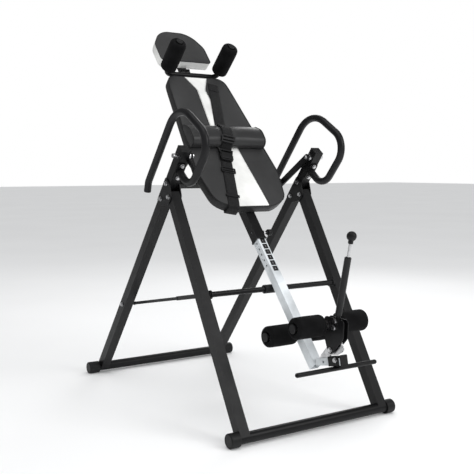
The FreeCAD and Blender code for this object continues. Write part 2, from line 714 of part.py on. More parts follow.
def bed_structure():
    frame = bed_frame()
    along = Rotation(X_AXIS, -90)
    whole = "Sizes.sleeve_top + Sizes.sleeve_foot"
    square_tube("bed_tube", "sleeve_side", "sleeve_wall", whole, spot(frame, y=-size("sleeve_foot"), turn=along))
    bores = new_sketch(parts["bed_tube"], "YZ_Plane", "PinBore")
    pin = size("sleeve_foot") - size("pin_along")
    bores.addGeometry(Part.Circle(Vector(0, pin, 0), Z_AXIS, size("pin_radius") + 0.05), False)
    pocket(parts["bed_tube"], bores, "2 * Sizes.sleeve_side", "PinBores")
    cross_span = "2 * Sizes.arm_x - Sizes.arm_thick"
    drop = -size("sleeve_side") / 2 - size("cross_side") / 2
    rise = size("cross_up")
    square_tube("cross_tube", "cross_side", "leg_wall", cross_span, spot(frame, y=rise, z=drop, turn=ALONG_X), True)
    lean = Rotation(X_AXIS, math.degrees(math.atan2(rise, size("arm_reach") - drop)))
    half = size("arm_wide") / 2
    low = -math.hypot(rise, size("arm_reach") - drop) - half
    for name, side in SIDES:
        corners = [(-half, low, 6), (half, low, 6), (half, half, half - 0.01), (-half, half, half - 0.01)]
        hole = [(0.0, 0.0, size("pivot_radius") + 0.05)]
        place = spot(frame, x=side * size("arm_x"), z=size("arm_reach"), turn=lean)
        plate("pivot_arm_" + name, corners, "Sizes.arm_thick", place, hole)
    collar("foot_collar", "Sizes.slide_side + 0.6", -size("sleeve_foot") - 6, 6.0)
    collar("head_collar", "Sizes.head_tube_side", size("sleeve_top"), 8.0)


def collar(label, bore, start, long):
    """A square plastic collar that closes an end of the bed's tube round the tube inside it."""
    body = doc.addObject("PartDesign::Body", label)
    ring = new_sketch(body, "XY_Plane", "Ring")
    draw_rectangle(ring, "Sizes.sleeve_side + 3", "Sizes.sleeve_side + 3")
    draw_rectangle(ring, bore, bore)
    pad(body, ring, str(long))
    keep(label, body, spot(bed_frame(), y=start, turn=Rotation(X_AXIS, -90)))


def height_pin():
    """A pin that locks the adjusting tube, drawn out of its holes, in its housing on the bed's tube."""
    frame = bed_frame()
    side = size("sleeve_side") / 2
    along = -size("pin_along")
    right = Rotation(Y_AXIS, 90)
    bore = size("pin_radius") + 0.05
    outline = [(bore, 0), (9, 0), (9, 14, 1), (bore, 14)]
    turned("pin_housing", outline, spot(frame, x=side, y=along, turn=right))
    tip = size("slide_side") / 2 + 1.5
    start = side + 14 + size("pin_travel")
    body = doc.addObject("PartDesign::Body", "height_pin")
    ring = new_sketch(body, "XY_Plane", "Section")
    draw_circle(ring, "Sizes.pin_radius")
    pad(body, ring, "%.3f" % (start + 12 - tip))
    keep("height_pin", body, spot(frame, x=tip, y=along, turn=right))
    grip = size("knob_radius")
    stem = size("pin_radius")
    knob = [(stem, 0), (7, 0, 1), (7, 6, 1), (grip, 9, 2), (grip, 25, 5), (0, 27), (0, 12), (stem, 12)]
    turned("height_knob", knob, spot(frame, x=start, y=along, turn=right))


def backrest():
    base = size("sleeve_side") / 2
    flat_pad("backboard", backrest_outline(6.0), "Sizes.board_thick", base)
    flat_pad("backrest_pad", backrest_outline(), "Sizes.pad_thick", base + size("board_thick"))


def head_outline(inset=0.0):
    low = size("head_low") + inset
    high = size("head_high_edge") - inset
    half = size("head_half") - inset
    return [(-half, low, 16), (half, low, 16), (half, high - 85, 70), (half * 0.6, high, 90), (-half * 0.6, high, 90),
            (-half, high - 85, 70)]


def head_rest():
    """A padded board on a square tube that slides into the top of the bed's tube."""
    half = size("head_tube_side") / 2
    start = size("sleeve_top") - 80
    long = "Sizes.head_high_edge - 40 - Sizes.sleeve_top + 80"
    place = spot(bed_frame(), y=start, turn=Rotation(X_AXIS, -90))
    square_tube("head_tube", "head_tube_side", "leg_wall", long, place)
    flat_pad("head_board", head_outline(5.0), "Sizes.head_board_thick", half)
    flat_pad("head_pillow", head_outline(), "Sizes.head_pad_thick", half + size("head_board_thick"))


def shoulder_rest():
    """A bent bar clamped to the head tube, with a foam pad on each of its two arms."""
    tilt = Rotation(X_AXIS, -size("shoulder_tilt"))
    frame = spot(bed_frame(), y=size("shoulder_along"), z=size("shoulder_high"), turn=tilt)
    half = size("shoulder_half")
    reach = size("shoulder_reach")
    # The path starts at the tip of the left arm; its own Z runs back down that arm.
    corners = [(0, 0), (0, reach, 25), (2 * half, reach, 25), (2 * half, 0)]
    start = frame.multiply(Placement(Vector(-half, 0, reach), Rotation(X_AXIS, 180)))
    bent_tube("shoulder_bar", "Sizes.shoulder_radius", "Sizes.bar_wall", corners, start)
    inner = size("shoulder_radius") + 0.05
    outer = size("shoulder_pad_radius")
    long = size("shoulder_pad_long")
    for name, side in SIDES:
        outline = [(inner, 0), (outer, 0, 12), (outer, long, 14), (inner, long)]
        place = spot(frame, x=side * half, z=reach - long - 1)
        turned("shoulder_pad_" + name, outline, place)
        plug = [(0, 0), (inner + 3, 0), (inner + 3, 3, 2), (0, 4)]
        turned("shoulder_plug_" + name, plug, spot(frame, x=side * half, z=reach))
    box = doc.addObject("Part::Box", "ClampBlock")
    box.Length = 36
    box.Width = 26
    box.Height = size("shoulder_high") + 3 - size("sleeve_side") / 2
    box.Placement = spot(bed_frame(), x=-18, y=size("shoulder_along") - 13, z=size("sleeve_side") / 2)
    bore = doc.addObject("Part::Cylinder", "ClampBore")
    bore.setExpression("Radius", "Sizes.shoulder_radius + 0.02")
    bore.Height = 60
    bore.Placement = spot(frame, x=-30, turn=ALONG_X)
    cut = doc.addObject("Part::Cut", "shoulder_clamp")
    cut.Base = box
    cut.Tool = bore
    keep("shoulder_clamp", cut, Placement())


def lumbar_pillow():
    """A half-round roll across the backrest."""
    base = size("sleeve_side") / 2 + size("board_thick") + size("pad_thick") + 0.5
    half = size("lumbar_wide") / 2
    high = size("lumbar_high")
    body = doc.addObject("PartDesign::Body", "lumbar_pillow")
    section = new_sketch(body, "YZ_Plane", "Section")
    for edge in rounded([(-half, 0, 10), (-half, high, 34), (half, high, 34), (half, 0, 10)]):
        section.addGeometry(edge, False)
    pad(body, section, "Sizes.lumbar_long", both_ways=True)
    keep("lumbar_pillow", body, spot(bed_frame(), y=size("lumbar_along"), z=base))


def strap():
    """One belt of webbing round the backrest and over the lumbar pillow, with its buckles."""
    base = size("sleeve_side") / 2
    face = base + size("board_thick") + size("pad_thick") + 1.0
    thick = size("strap_thick")
    slant = math.radians(size("strap_turn"))
    top = size("strap_top")
    foot = -size("pad_foot") - 16
    roll = face + size("lumbar_high") + 1.5
    middle = size("lumbar_along") / math.cos(slant)
    half = (size("lumbar_wide") / 2 + size("strap_wide") / 2 * math.sin(slant) + 5) / math.cos(slant)
    over_roll = [(half, face), (half - 1, face + 14), (half - 15, roll)]
    inner = [(top, face)]
    outer = [(top, face + thick)]
    for reach, level in over_roll:
        inner.append((middle + reach, level))
        outer.append((middle + reach + thick, level + thick))
    for reach, level in over_roll[::-1]:
        inner.append((middle - reach, level))
        outer.append((middle - reach - thick, level + thick))
    inner += [(foot, face), (foot, base)]
    outer += [(foot - thick, face + thick), (foot - thick, base)]
    body = doc.addObject("PartDesign::Body", "lumbar_strap")
    run = new_sketch(body, "YZ_Plane", "Run")
    for edge in rounded(inner + outer[::-1]):
        run.addGeometry(edge, False)
    pad(body, run, "Sizes.strap_wide", both_ways=True)
    place = spot(bed_frame(), x=-54, turn=Rotation(Z_AXIS, -size("strap_turn")))
    keep("lumbar_strap", body, place)
    hardware = (("strap_adjuster_upper", middle - 24, roll, 30, 56, 4),
                ("strap_buckle", middle - 102, face, 56, 54, 10),
                ("strap_adjuster_lower", middle - 173, face, 26, 58, 4))
    for label, along, level, long, wide, thickness in hardware:
        corners = [(-wide / 2, -long / 2, 3), (wide / 2, -long / 2, 3), (wide / 2, long / 2, 3), (-wide / 2, long / 2, 3)]
        body = doc.addObject("PartDesign::Body", label)
        outline = new_sketch(body, "XY_Plane", "Outline")
        for edge in rounded(corners):
            outline.addGeometry(edge, False)
        feature = body.newObject("PartDesign::Pad", "Pad")
        feature.Profile = outline
        feature.Length = thickness
        keep(label, body, place.multiply(Placement(Vector(0, along, level + thick + 0.3), Rotation())))


# ---------------------------------------------------------------- adjusting tube and ankle unit

def slide_tube():
    frame = bed_frame()
    along = Rotation(X_AXIS, -90)
    square_tube("slide_tube", "slide_side", "slide_wall", "Sizes.slide_foot - Sizes.slide_top",
                spot(frame, y=-size("slide_foot"), turn=along))
    body = parts["slide_tube"]
    holes = new_sketch(body, "YZ_Plane", "Holes")
    first = size("slide_foot") - size("pin_along")
    for n in range(int(size("hole_count"))):
        shift = (n - (int(size("hole_count")) - 1) / 2) * size("hole_pitch")
        circle = Part.Circle(Vector(0, first - shift, 0), Z_AXIS, size("pin_radius") + size("bolt_clear"))
        holes.addGeometry(circle, False)
    axle = size("slide_foot") - size("rear_axle_along")
    holes.addGeometry(Part.Circle(Vector(0, axle, 0), Z_AXIS, size("axle_radius") + 0.02), False)
    pocket(body, holes, "2 * Sizes.slide_side", "Holes")


def axle(label, frame, inner, y, z):
    """A tube across the part, with two collars that keep the rollers out from the middle."""
    place = spot(frame, y=y, z=z, turn=ALONG_X)
    round_tube(label, "Sizes.axle_radius", "Sizes.bar_wall", "2 * (Sizes.roller_long + Sizes.roller_in + 3)", place)
    bore = size("axle_radius") + 0.02
    reach = size("roller_in") - 0.5
    for name, side in SIDES:
        outline = [(bore, inner), (14, inner), (14, reach, 1), (bore, reach)]
        turned(label + "_collar_" + name, outline, spot(frame, y=y, z=z, turn=Rotation(Y_AXIS, 90 * side)))
        end = size("roller_long") + size("roller_in") + 3
        core = size("axle_radius") - size("bar_wall") - 0.3
        plug = [(0, -14), (core, -14, 1), (core, 0), (16, 0), (16, 3, 1.5), (0, 3)]
        outer = spot(frame, x=side * end, y=y, z=z, turn=Rotation(Y_AXIS, 90 * side))
        turned(label + "_plug_" + name, plug, outer)
    gather(label, [label] + [label + "_collar_" + name for name, _ in SIDES])
    both(label + "_plug")


def roller(label, frame, side, y, z):
    """A foam sleeve that turns on its axle."""
    inner = size("axle_radius") + size("bolt_clear")
    outer = size("roller_radius")
    long = size("roller_long")
    outline = [(inner, 0), (outer, 0, 8), (outer, long, 8), (inner, long)]
    turned(label, outline, spot(frame, x=side * size("roller_in"), y=y, z=z, turn=Rotation(Y_AXIS, 90 * side)))


def ankle_unit():
    rear = -size("rear_axle_along")
    axle("rear_axle", bed_frame(), size("slide_side") / 2, rear, 0.0)
    back, up = size("front_axle_back"), size("front_axle_up")
    axle("front_axle", lever_frame(), cheek_reach(), back, up)
    for name, side in SIDES:
        roller("rear_roller_" + name, bed_frame(), side, rear, 0.0)
        roller("front_roller_" + name, lever_frame(), side, back, up)


def stub():
    """The short square tube at the foot of the adjusting tube, with its hole and end block."""
    frame = stub_frame()
    half = size("stub_side") / 2
    start = (size("slide_side") / 2 + half * math.sin(math.radians(size("stub_turn")))) \
        / math.cos(math.radians(size("stub_turn")))
    body = square_tube("foot_stub", "stub_side", "leg_wall", "Sizes.stub_long - %.3f" % start, spot(frame, z=start))
    bore = new_sketch(body, "YZ_Plane", "Bore")
    bore.addGeometry(Part.Circle(Vector(0, 67 - start, 0), Z_AXIS, 4.5), False)
    pocket(body, bore, "2 * Sizes.stub_side", "Bore")
    cap = doc.addObject("PartDesign::Body", "stub_cap")
    block = new_sketch(cap, "XY_Plane", "Block")
    for edge in rounded([(-14, -14, 3), (14, -14, 3), (14, 22, 3), (-14, 22, 3)]):
        block.addGeometry(edge, False)
    pad(cap, block, "2 * Sizes.plate_thick", name="Lid")
    inner = new_sketch(cap, "XY_Plane", "Insert")
    draw_rectangle(inner, "Sizes.stub_side - 2 * Sizes.leg_wall - 0.4", "Sizes.stub_side - 2 * Sizes.leg_wall - 0.4")
    insert = pad(cap, inner, "4 * Sizes.plate_thick", name="Plug")
    insert.Reversed = True
    keep("stub_cap", cap, spot(frame, z=size("stub_long")))


def foot_rest():
    """The bar under the stub and the clamp that holds it."""
    frame = stub_frame()
    wall = 2.5
    fit = size("stub_side") / 2 + 0.02
    wide = fit + wall
    body = doc.addObject("PartDesign::Body", "rest_clamp")
    section = new_sketch(body, "XY_Plane", "Section")
    top = fit + 5.5
    for edge in rounded([(-wide, -fit - wall, 2), (wide, -fit - wall, 2), (wide, top, 3), (-wide, top, 3)]):
        section.addGeometry(edge, False)
    draw_rectangle(section, "Sizes.stub_side + 0.04", "Sizes.stub_side + 0.04")
    pad(body, section, "Sizes.clamp_long", both_ways=True)
    keep("rest_clamp", body, spot(frame, z=size("clamp_along")))
    radius = size("rest_radius")
    half = size("rest_long") / 2
    bar = [(0, -half), (radius, -half, 8), (radius, half, 8), (0, half)]
    drop = fit + wall + radius
    turned("foot_rest", bar, spot(frame, y=-drop, z=size("rest_along"), turn=ALONG_X))
    bolts = []
    for side in (-1, 1):
        place = spot(frame, x=side * wide, y=6, z=size("clamp_along") + 11, turn=Rotation(Y_AXIS, 90 * side))
        bolts.append(bolt_head(place))
    group("clamp_bolts", bolts)


def ratchet():
    """A toothed plate on the stub; the lever's release rod drops between its teeth."""
    bolt = stub_frame().inverse().multVec(lever_frame().Base)
    tip = size("tooth_radius")
    root = tip - size("tooth_deep")
    step = 6.0
    teeth = []
    for number in range(14):
        for share, radius in ((0.0, root), (0.25, tip), (0.5, tip), (0.75, root)):
            turn = math.radians(-4.0 + (number + share) * step)
            teeth.append((bolt.y + radius * math.sin(turn), bolt.z + radius * math.cos(turn)))
    seat = size("stub_side") / 2 + 0.02
    base = [(58, 96), (24, 48), (seat, 40), (seat, 94), (22, 97), (22, 134), (30, 158)]
    holes = [(bolt.y, bolt.z, size("bolt_radius") + size("bolt_clear"))]
    plate("ratchet_plate", teeth + base, "Sizes.plate_thick + 2", stub_frame(), holes)


def cheek_reach():
    """From the middle of the lever to the outer face of a cheek."""
    return size("lever_radius") + size("plate_thick") + 0.04


def lever():
    """Two cheeks on the pivot bolt carry the front rollers and the long lever."""
    frame = lever_frame()
    corners = [(9, -12, 8), (-9, -12, 8), (-52, 60, 16), (-42, 122, 14), (52, 104, 14), (57, 58, 16)]
    holes = [(0, 0, size("bolt_radius") + 0.05),
             (size("front_axle_back"), size("front_axle_up"), size("axle_radius") + 0.02)]
    middle = cheek_reach() - size("plate_thick") / 2
    for name, side in SIDES:
        plate("lever_cheek_" + name, corners, "Sizes.plate_thick", spot(frame, x=side * middle), holes)
    grip = 2 * cheek_reach()
    group("lever_pivot_bolt", [through_bolt(spot(frame, x=-grip / 2, turn=ALONG_X), grip, size("bolt_radius"))])
    foot = size("lever_foot")
    heads = []
    for along in (foot + 10, foot + 34):
        for side in (-1, 1):
            heads.append(bolt_head(spot(frame, x=side * cheek_reach(), z=along, turn=Rotation(Y_AXIS, 90 * side))))
    group("lever_bolt_heads", heads)
    own = spot(frame, z=foot)
    inner = size("rod_radius") + size("bolt_clear")
    outer = size("lever_radius")
    high = size("grip_top")
    turned("lever_tube", [(inner, 0), (outer, 0, 1), (outer, high + 2, 1), (inner, high + 2)], own)
    sleeve = [(outer + 0.02, 54), (size("grip_radius"), 54, 2), (size("grip_radius"), high, 2), (outer + 0.02, high)]
    turned("lever_grip", sleeve, own)
    ball = size("ball_radius")
    rod_top = size("ball_along") - ball + 6
    rod = [(0, -9), (3, -9), (size("rod_radius"), -4), (size("rod_radius"), rod_top), (0, rod_top)]
    turned("release_rod", rod, own)
    knob = doc.addObject("Part::Sphere", "BallBody")
    knob.setExpression("Radius", "Sizes.ball_radius")
    collar_high = 14
    neck = doc.addObject("Part::Cylinder", "BallCollar")
    neck.Radius = 8.5
    neck.Height = collar_high
    neck.Placement = Placement(Vector(0, 0, -ball - 8), Rotation())
    union = doc.addObject("Part::Fuse", "BallBlank")
    union.Base = knob
    union.Tool = neck
    drill = doc.addObject("Part::Cylinder", "BallBore")
    drill.setExpression("Radius", "Sizes.rod_radius + 0.02")
    drill.Height = collar_high
    drill.Placement = neck.Placement
    bored = doc.addObject("Part::Cut", "ball_knob")
    bored.Base = union
    bored.Tool = drill
    keep("ball_knob", bored, spot(own, z=size("ball_along")))


# ---------------------------------------------------------------- build, check, write

rear_stand()
front_stand()
bed_structure()
height_pin()
backrest()
head_rest()
shoulder_rest()
lumbar_pillow()
strap()
slide_tube()
ankle_unit()
stub()
foot_rest()
ratchet()
lever()
for stem in ("foot_cap_rear", "foot_cap_front", "post_cap", "handle_flange", "handle_plug", "pivot_bolt", "rear_stay",
             "pivot_spacer", "pivot_arm", "shoulder_plug", "shoulder_pad", "lever_cheek", "front_stay"):
    both(stem)
gather("apex_plates", ["apex_plate_%s_%s" % (name, face) for name, _ in SIDES for face in ("outer", "inner")])
gather("end_caps", ["post_caps", "handle_plugs"])
gather("strap_buckles", ["strap_adjuster_upper", "strap_buckle", "strap_adjuster_lower"])
gather("frame_bolts", ["apex_bolts", "handle_bolts", "stay_pins", "pivot_bolts", "pivot_spacers"])
gather("rear_stays", ["rear_stays", "rear_stay_rivets"])
gather("front_stays", ["front_stays", "front_stay_rivets"])
gather("lever_bolts", ["lever_pivot_bolt", "lever_bolt_heads"])
gather("tube_collars", ["foot_collar", "head_collar"])
doc.recompute()

faults = []
for item in doc.Objects:
    if "Invalid" in item.State or "Error" in item.State:
        faults.append("%s is %s" % (item.Label, item.State))
for label, item in parts.items():
    if item.Shape.isNull() or not item.Shape.isValid() or not item.Shape.Solids:
        faults.append("%s has no valid solid" % label)
if faults:
    raise RuntimeError("; ".join(faults))

box = FreeCAD.BoundBox()
os.makedirs("parts", exist_ok=True)
for label, item in parts.items():
    item.Shape.exportStep(os.path.join("parts", label + ".step"))
    box.add(item.Shape.BoundBox)
print("%d sub-parts, X %.1f to %.1f, Y %.1f to %.1f, Z %.1f to %.1f mm"
      % (len(parts), box.XMin, box.XMax, box.YMin, box.YMax, box.ZMin, box.ZMax))
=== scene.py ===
import json
import math

import bpy
from mathutils import Matrix, Vector, noise
from mathutils.bvhtree import BVHTree


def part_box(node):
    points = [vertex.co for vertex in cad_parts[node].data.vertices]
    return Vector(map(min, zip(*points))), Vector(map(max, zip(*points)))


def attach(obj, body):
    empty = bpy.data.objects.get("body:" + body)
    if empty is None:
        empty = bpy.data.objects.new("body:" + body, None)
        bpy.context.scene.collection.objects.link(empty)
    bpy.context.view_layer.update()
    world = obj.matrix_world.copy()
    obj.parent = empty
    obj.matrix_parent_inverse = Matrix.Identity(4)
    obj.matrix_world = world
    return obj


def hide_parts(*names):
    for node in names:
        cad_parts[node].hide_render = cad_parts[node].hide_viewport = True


# Looks of a folding inversion table. Lengths are in metres. "Up the bed" is from the pivot
# towards the head, and "out" is square to the bed's padded face, away from its tube.

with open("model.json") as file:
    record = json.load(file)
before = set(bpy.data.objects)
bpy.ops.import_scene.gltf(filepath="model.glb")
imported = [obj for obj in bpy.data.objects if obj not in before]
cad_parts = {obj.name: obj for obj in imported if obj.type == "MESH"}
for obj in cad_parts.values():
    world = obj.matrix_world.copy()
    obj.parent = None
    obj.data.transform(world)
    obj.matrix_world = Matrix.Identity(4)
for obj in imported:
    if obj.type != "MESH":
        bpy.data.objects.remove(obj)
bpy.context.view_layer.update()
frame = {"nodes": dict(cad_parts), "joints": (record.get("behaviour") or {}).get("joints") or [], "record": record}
nodes = frame["nodes"]
record = frame["record"]
joints = {joint["name"]: joint for joint in frame["joints"]}

# ---------------------------------------------------------------- driving sizes

ARM_REACH = 0.165            # from the bed tube's axis out to the pivot
BACK_TOP = 0.532             # backrest, up the bed
BACK_FOOT = -0.158
BACK_NARROW = 0.144          # half widths
BACK_WIDE = 0.188
BACK_LOW = 0.0206            # back panel and front face, out from the tube's axis
BACK_HIGH = 0.0600
STRIPE = ((0.532, 0.056), (0.457, 0.019), (0.274, 0.034), (0.137, 0.045), (-0.158, 0.073))
HEAD_LOW = 0.634             # head pillow
HEAD_TOP = 0.816
HEAD_HALF = 0.121
HEAD_BACK = 0.0127
HEAD_FACE = 0.0530
BACK_BOARD = 0.032           # where board and cushion meet, out from the tube's axis
HEAD_BOARD = 0.024
ROLL_ALONG = 0.182           # lumbar pillow
ROLL_HALF = 0.053
ROLL_HIGH = 0.047
ROLL_LEFT = -0.175
ROLL_RIGHT = 0.161
ROLL_BASE = 0.0632
STRAP_X = -0.054             # webbing: where its line crosses the pivot's height
STRAP_TURN = math.radians(14)
STRAP_WIDE = 0.048
STRAP_THICK = 0.0016
STRAP_TOP = 0.506
STRAP_END = -0.175           # no webbing below this place on the backrest
STRAP_GAP = 0.0003           # between the webbing and what it lies on
UPPER_ADJUSTER = 0.146       # hardware, down the webbing's own line
BUCKLE_BAR = 0.112
BUCKLE_BODY = 0.084
LOWER_ADJUSTER = 0.016
KEEPER = -0.112
TAIL_FOOT = -0.108           # stretches where the webbing is doubled
TAIL_HEAD = 0.058
OVER_ROLL_FOOT = 0.132
OVER_ROLL_HEAD = 0.215
SHOULDER_ALONG = 0.562       # shoulder pads
SHOULDER_OUT = 0.0414
SHOULDER_X = 0.124
SHOULDER_TILT = math.radians(3)
SHOULDER_TIP = 0.168
SHOULDER_LONG = 0.141
SHOULDER_RADIUS = 0.0342
SHOULDER_BORE = 0.0112
AXLE_RADIUS = 0.0098
SLIDE_FACE = 0.0175          # white tube: its front face, out from its axis
SCALE_FIRST = -0.289         # first block of the scale, up the bed, and the holes' pitch
SCALE_PITCH = 0.025
SCALE_BLOCK = 0.0215
FLOOR_DROP = 0.0004          # the floor lies this far under the caps' soles

CAMERA_PLACE = Vector((-1.673, -2.5475, 0.8968))
CAMERA_TURN = math.radians(-33.12)
CAMERA_PITCH = math.radians(4.897)
CAMERA_LENS = 59.13
AMBIENT = 0.76               # light from all round, and the lower level that gloss mirrors
MIRRORED = 0.16
FILL_PRESSURE = 4.0          # cloth simulation of the cushions
FILL_FRAMES = 20

up_bed = -Vector(joints["leg_adjust"]["axis"]).normalized()
out_bed = Vector((1, 0, 0)).cross(up_bed).normalized()
bed_origin = Vector(joints["table_tilt"]["pos_m"]) - out_bed * ARM_REACH
BED = Matrix.Translation(bed_origin) @ Matrix((Vector((1, 0, 0)), up_bed, out_bed)).transposed().to_4x4()
STRAP = BED @ Matrix.Translation((STRAP_X, 0, 0)) @ Matrix.Rotation(-STRAP_TURN, 4, "Z")


# ---------------------------------------------------------------- materials

class Shader:
    """A Principled material and short calls to build its nodes."""

    def __init__(self, name, colour, roughness, metallic=0.0):
        self.material = bpy.data.materials.new(name)
        self.material.use_nodes = True
        self.tree = self.material.node_tree
        self.shader = self.tree.nodes["Principled BSDF"]
        self.shader.inputs["Base Color"].default_value = (*colour, 1)
        self.shader.inputs["Roughness"].default_value = roughness
        self.shader.inputs["Metallic"].default_value = metallic
        self.colour = colour
        self.place = self.node("ShaderNodeTexCoord").outputs["Object"]

    def node(self, kind, **settings):
        made = self.tree.nodes.new(kind)
        for key, value in settings.items():
            if hasattr(made, key):
                setattr(made, key, value)
            else:
                made.inputs[key].default_value = value
        return made

    def link(self, source, target):
        self.tree.links.new(source, target)

    def set(self, **values):
        for key, value in values.items():
            self.shader.inputs[key.replace("_", " ")].default_value = value

    def noise(self, scale, detail=3.0, stretch=(1, 1, 1)):
        source = self.place
        if stretch != (1, 1, 1):
            mapping = self.node("ShaderNodeMapping")
            mapping.inputs["Scale"].default_value = stretch
            self.link(source, mapping.inputs["Vector"])
            source = mapping.outputs["Vector"]
        texture = self.node("ShaderNodeTexNoise", Scale=scale, Detail=detail)
        self.link(source, texture.inputs["Vector"])
        return texture.outputs["Fac"]

    def cells(self, scale, feature="F1"):
        texture = self.node("ShaderNodeTexVoronoi", feature=feature)
        texture.inputs["Scale"].default_value = scale
        self.link(self.place, texture.inputs["Vector"])
        return texture.outputs["Distance"]

    def wave(self, axis, scale):
        texture = self.node("ShaderNodeTexWave", bands_direction=axis, wave_profile="SIN")
        texture.inputs["Scale"].default_value = scale
        self.link(self.place, texture.inputs["Vector"])
        return texture.outputs["Fac"]

    def ramp(self, source, low, high, start=0.35, end=0.65):
        ramp = self.node("ShaderNodeValToRGB")
        for element, place, colour in zip(ramp.color_ramp.elements, (start, end), (low, high)):
            element.position = place
            element.color = (*colour, 1)
        self.link(source, ramp.inputs["Fac"])
        return ramp.outputs["Color"]

    def maths(self, kind, first, second):
        made = self.node("ShaderNodeMath", operation=kind)
        for value, socket in ((first, made.inputs[0]), (second, made.inputs[1])):
            if isinstance(value, (int, float)):
                socket.default_value = value
            else:
                self.link(value, socket)
        return made.outputs["Value"]

    def tint(self, source, dark, light, start=0.35, end=0.65):
        """Base colour wanders between two multiples of the material's colour."""
        low = tuple(c * dark for c in self.colour)
        high = tuple(min(1.0, c * light) for c in self.colour)
        self.link(self.ramp(source, low, high, start, end), self.shader.inputs["Base Color"])

    def shine(self, source, low, high):
        spread = self.node("ShaderNodeMapRange")
        spread.inputs["To Min"].default_value = low
        spread.inputs["To Max"].default_value = high
        self.link(source, spread.inputs["Value"])
        self.link(spread.outputs["Result"], self.shader.inputs["Roughness"])

    def bump(self, *layers):
        """Layers of (height, strength, distance), the coarsest first."""
        normal = None
        for source, strength, distance in layers:
            made = self.node("ShaderNodeBump", Strength=strength, Distance=distance)
            self.link(source, made.inputs["Height"])
            if normal is not None:
                self.link(normal, made.inputs["Normal"])
            normal = made.outputs["Normal"]
        self.link(normal, self.shader.inputs["Normal"])


def powder_coat(name, colour, roughness):
    """Satin powder coat: a fine orange peel with faint handling marks."""
    made = Shader(name, colour, roughness)
    marks = made.noise(9.0, 5.0)
    made.tint(marks, 0.8, 1.35)
    made.shine(made.noise(40.0, 4.0), roughness - 0.07, roughness + 0.09)
    made.bump((made.noise(420.0, 2.0), 0.18, 0.0006), (made.noise(1800.0, 1.0), 0.1, 0.0002))
    made.set(Coat_Weight=0.04, Coat_Roughness=0.3, Specular_IOR_Level=0.2)
    return made.material


def vinyl(name, colour, roughness=0.46):
    """Soft upholstery vinyl with a leather grain."""
    made = Shader(name, colour, roughness)
    made.tint(made.noise(6.0, 4.0), 0.82, 1.18)
    made.shine(made.noise(30.0, 3.0), roughness - 0.05, roughness + 0.1)
    grain = made.cells(520.0, "DISTANCE_TO_EDGE")
    made.bump((made.noise(28.0, 3.0), 0.12, 0.002), (grain, 0.35, 0.0005),
              (made.noise(900.0, 2.0), 0.1, 0.0002))
    made.set(Sheen_Weight=0.06, Specular_IOR_Level=0.36)
    return made.material


def moulded_plastic(name, colour, roughness=0.5):
    """Black moulding with a fine spark-eroded texture."""
    made = Shader(name, colour, roughness)
    made.tint(made.noise(14.0, 3.0), 0.8, 1.3)
    made.shine(made.noise(60.0, 2.0), roughness - 0.08, roughness + 0.08)
    made.bump((made.noise(1500.0, 2.0), 0.22, 0.0003))
    made.set(Specular_IOR_Level=0.25)
    return made.material


def foam(name, colour):
    """Dense closed-cell foam: matt, with open pores and shallow dents."""
    made = Shader(name, colour, 0.93)
    made.tint(made.noise(22.0, 4.0), 0.7, 1.4)
    pores = made.cells(900.0)
    made.bump((made.noise(45.0, 4.0), 0.3, 0.002), (pores, 0.4, 0.0006),
              (made.noise(1400.0, 2.0), 0.25, 0.0003))
    made.set(Specular_IOR_Level=0.08, Sheen_Weight=0.02)
    return made.material


def rubber_sleeve(name, colour, roughness):
    """Rubber or foam grip sleeve with a slight polish from hands."""
    made = Shader(name, colour, roughness)
    made.tint(made.noise(12.0, 4.0), 0.75, 1.35)
    made.shine(made.noise(18.0, 3.0), roughness - 0.1, roughness + 0.12)
    made.bump((made.noise(260.0, 3.0), 0.15, 0.0006), (made.noise(1200.0, 2.0), 0.2, 0.0002))
    made.set(Specular_IOR_Level=0.25)
    return made.material


def zinc(name, colour):
    """Bright zinc plate with a fine drawn grain and clouding."""
    made = Shader(name, colour, 0.28, metallic=1.0)
    made.tint(made.noise(60.0, 4.0), 0.75, 1.1)
    made.shine(made.noise(25.0, 3.0), 0.2, 0.42)
    made.bump((made.noise(300.0, 2.0, (1, 1, 12)), 0.08, 0.0003))
    return made.material


def webbing(name, colour):
    """Polyester webbing: rows of warp ribs crossed by the weft."""
    made = Shader(name, colour, 0.78)
    ribs = made.wave("X", 190.0)
    picks = made.wave("Y", 260.0)
    weave = made.maths("MULTIPLY", ribs, picks)
    made.tint(weave, 0.55, 1.7, 0.1, 0.8)
    made.bump((made.noise(35.0, 3.0), 0.15, 0.001), (weave, 0.55, 0.0008))
    made.set(Sheen_Weight=0.08, Sheen_Roughness=0.5, Specular_IOR_Level=0.25)
    return made.material


def back_cloth(name, colour):
    """Thin black backing cloth over the boards."""
    made = Shader(name, colour, 0.9)
    made.tint(made.noise(240.0, 3.0), 0.6, 1.6)
    made.bump((made.noise(700.0, 3.0), 0.35, 0.0004))
    return made.material


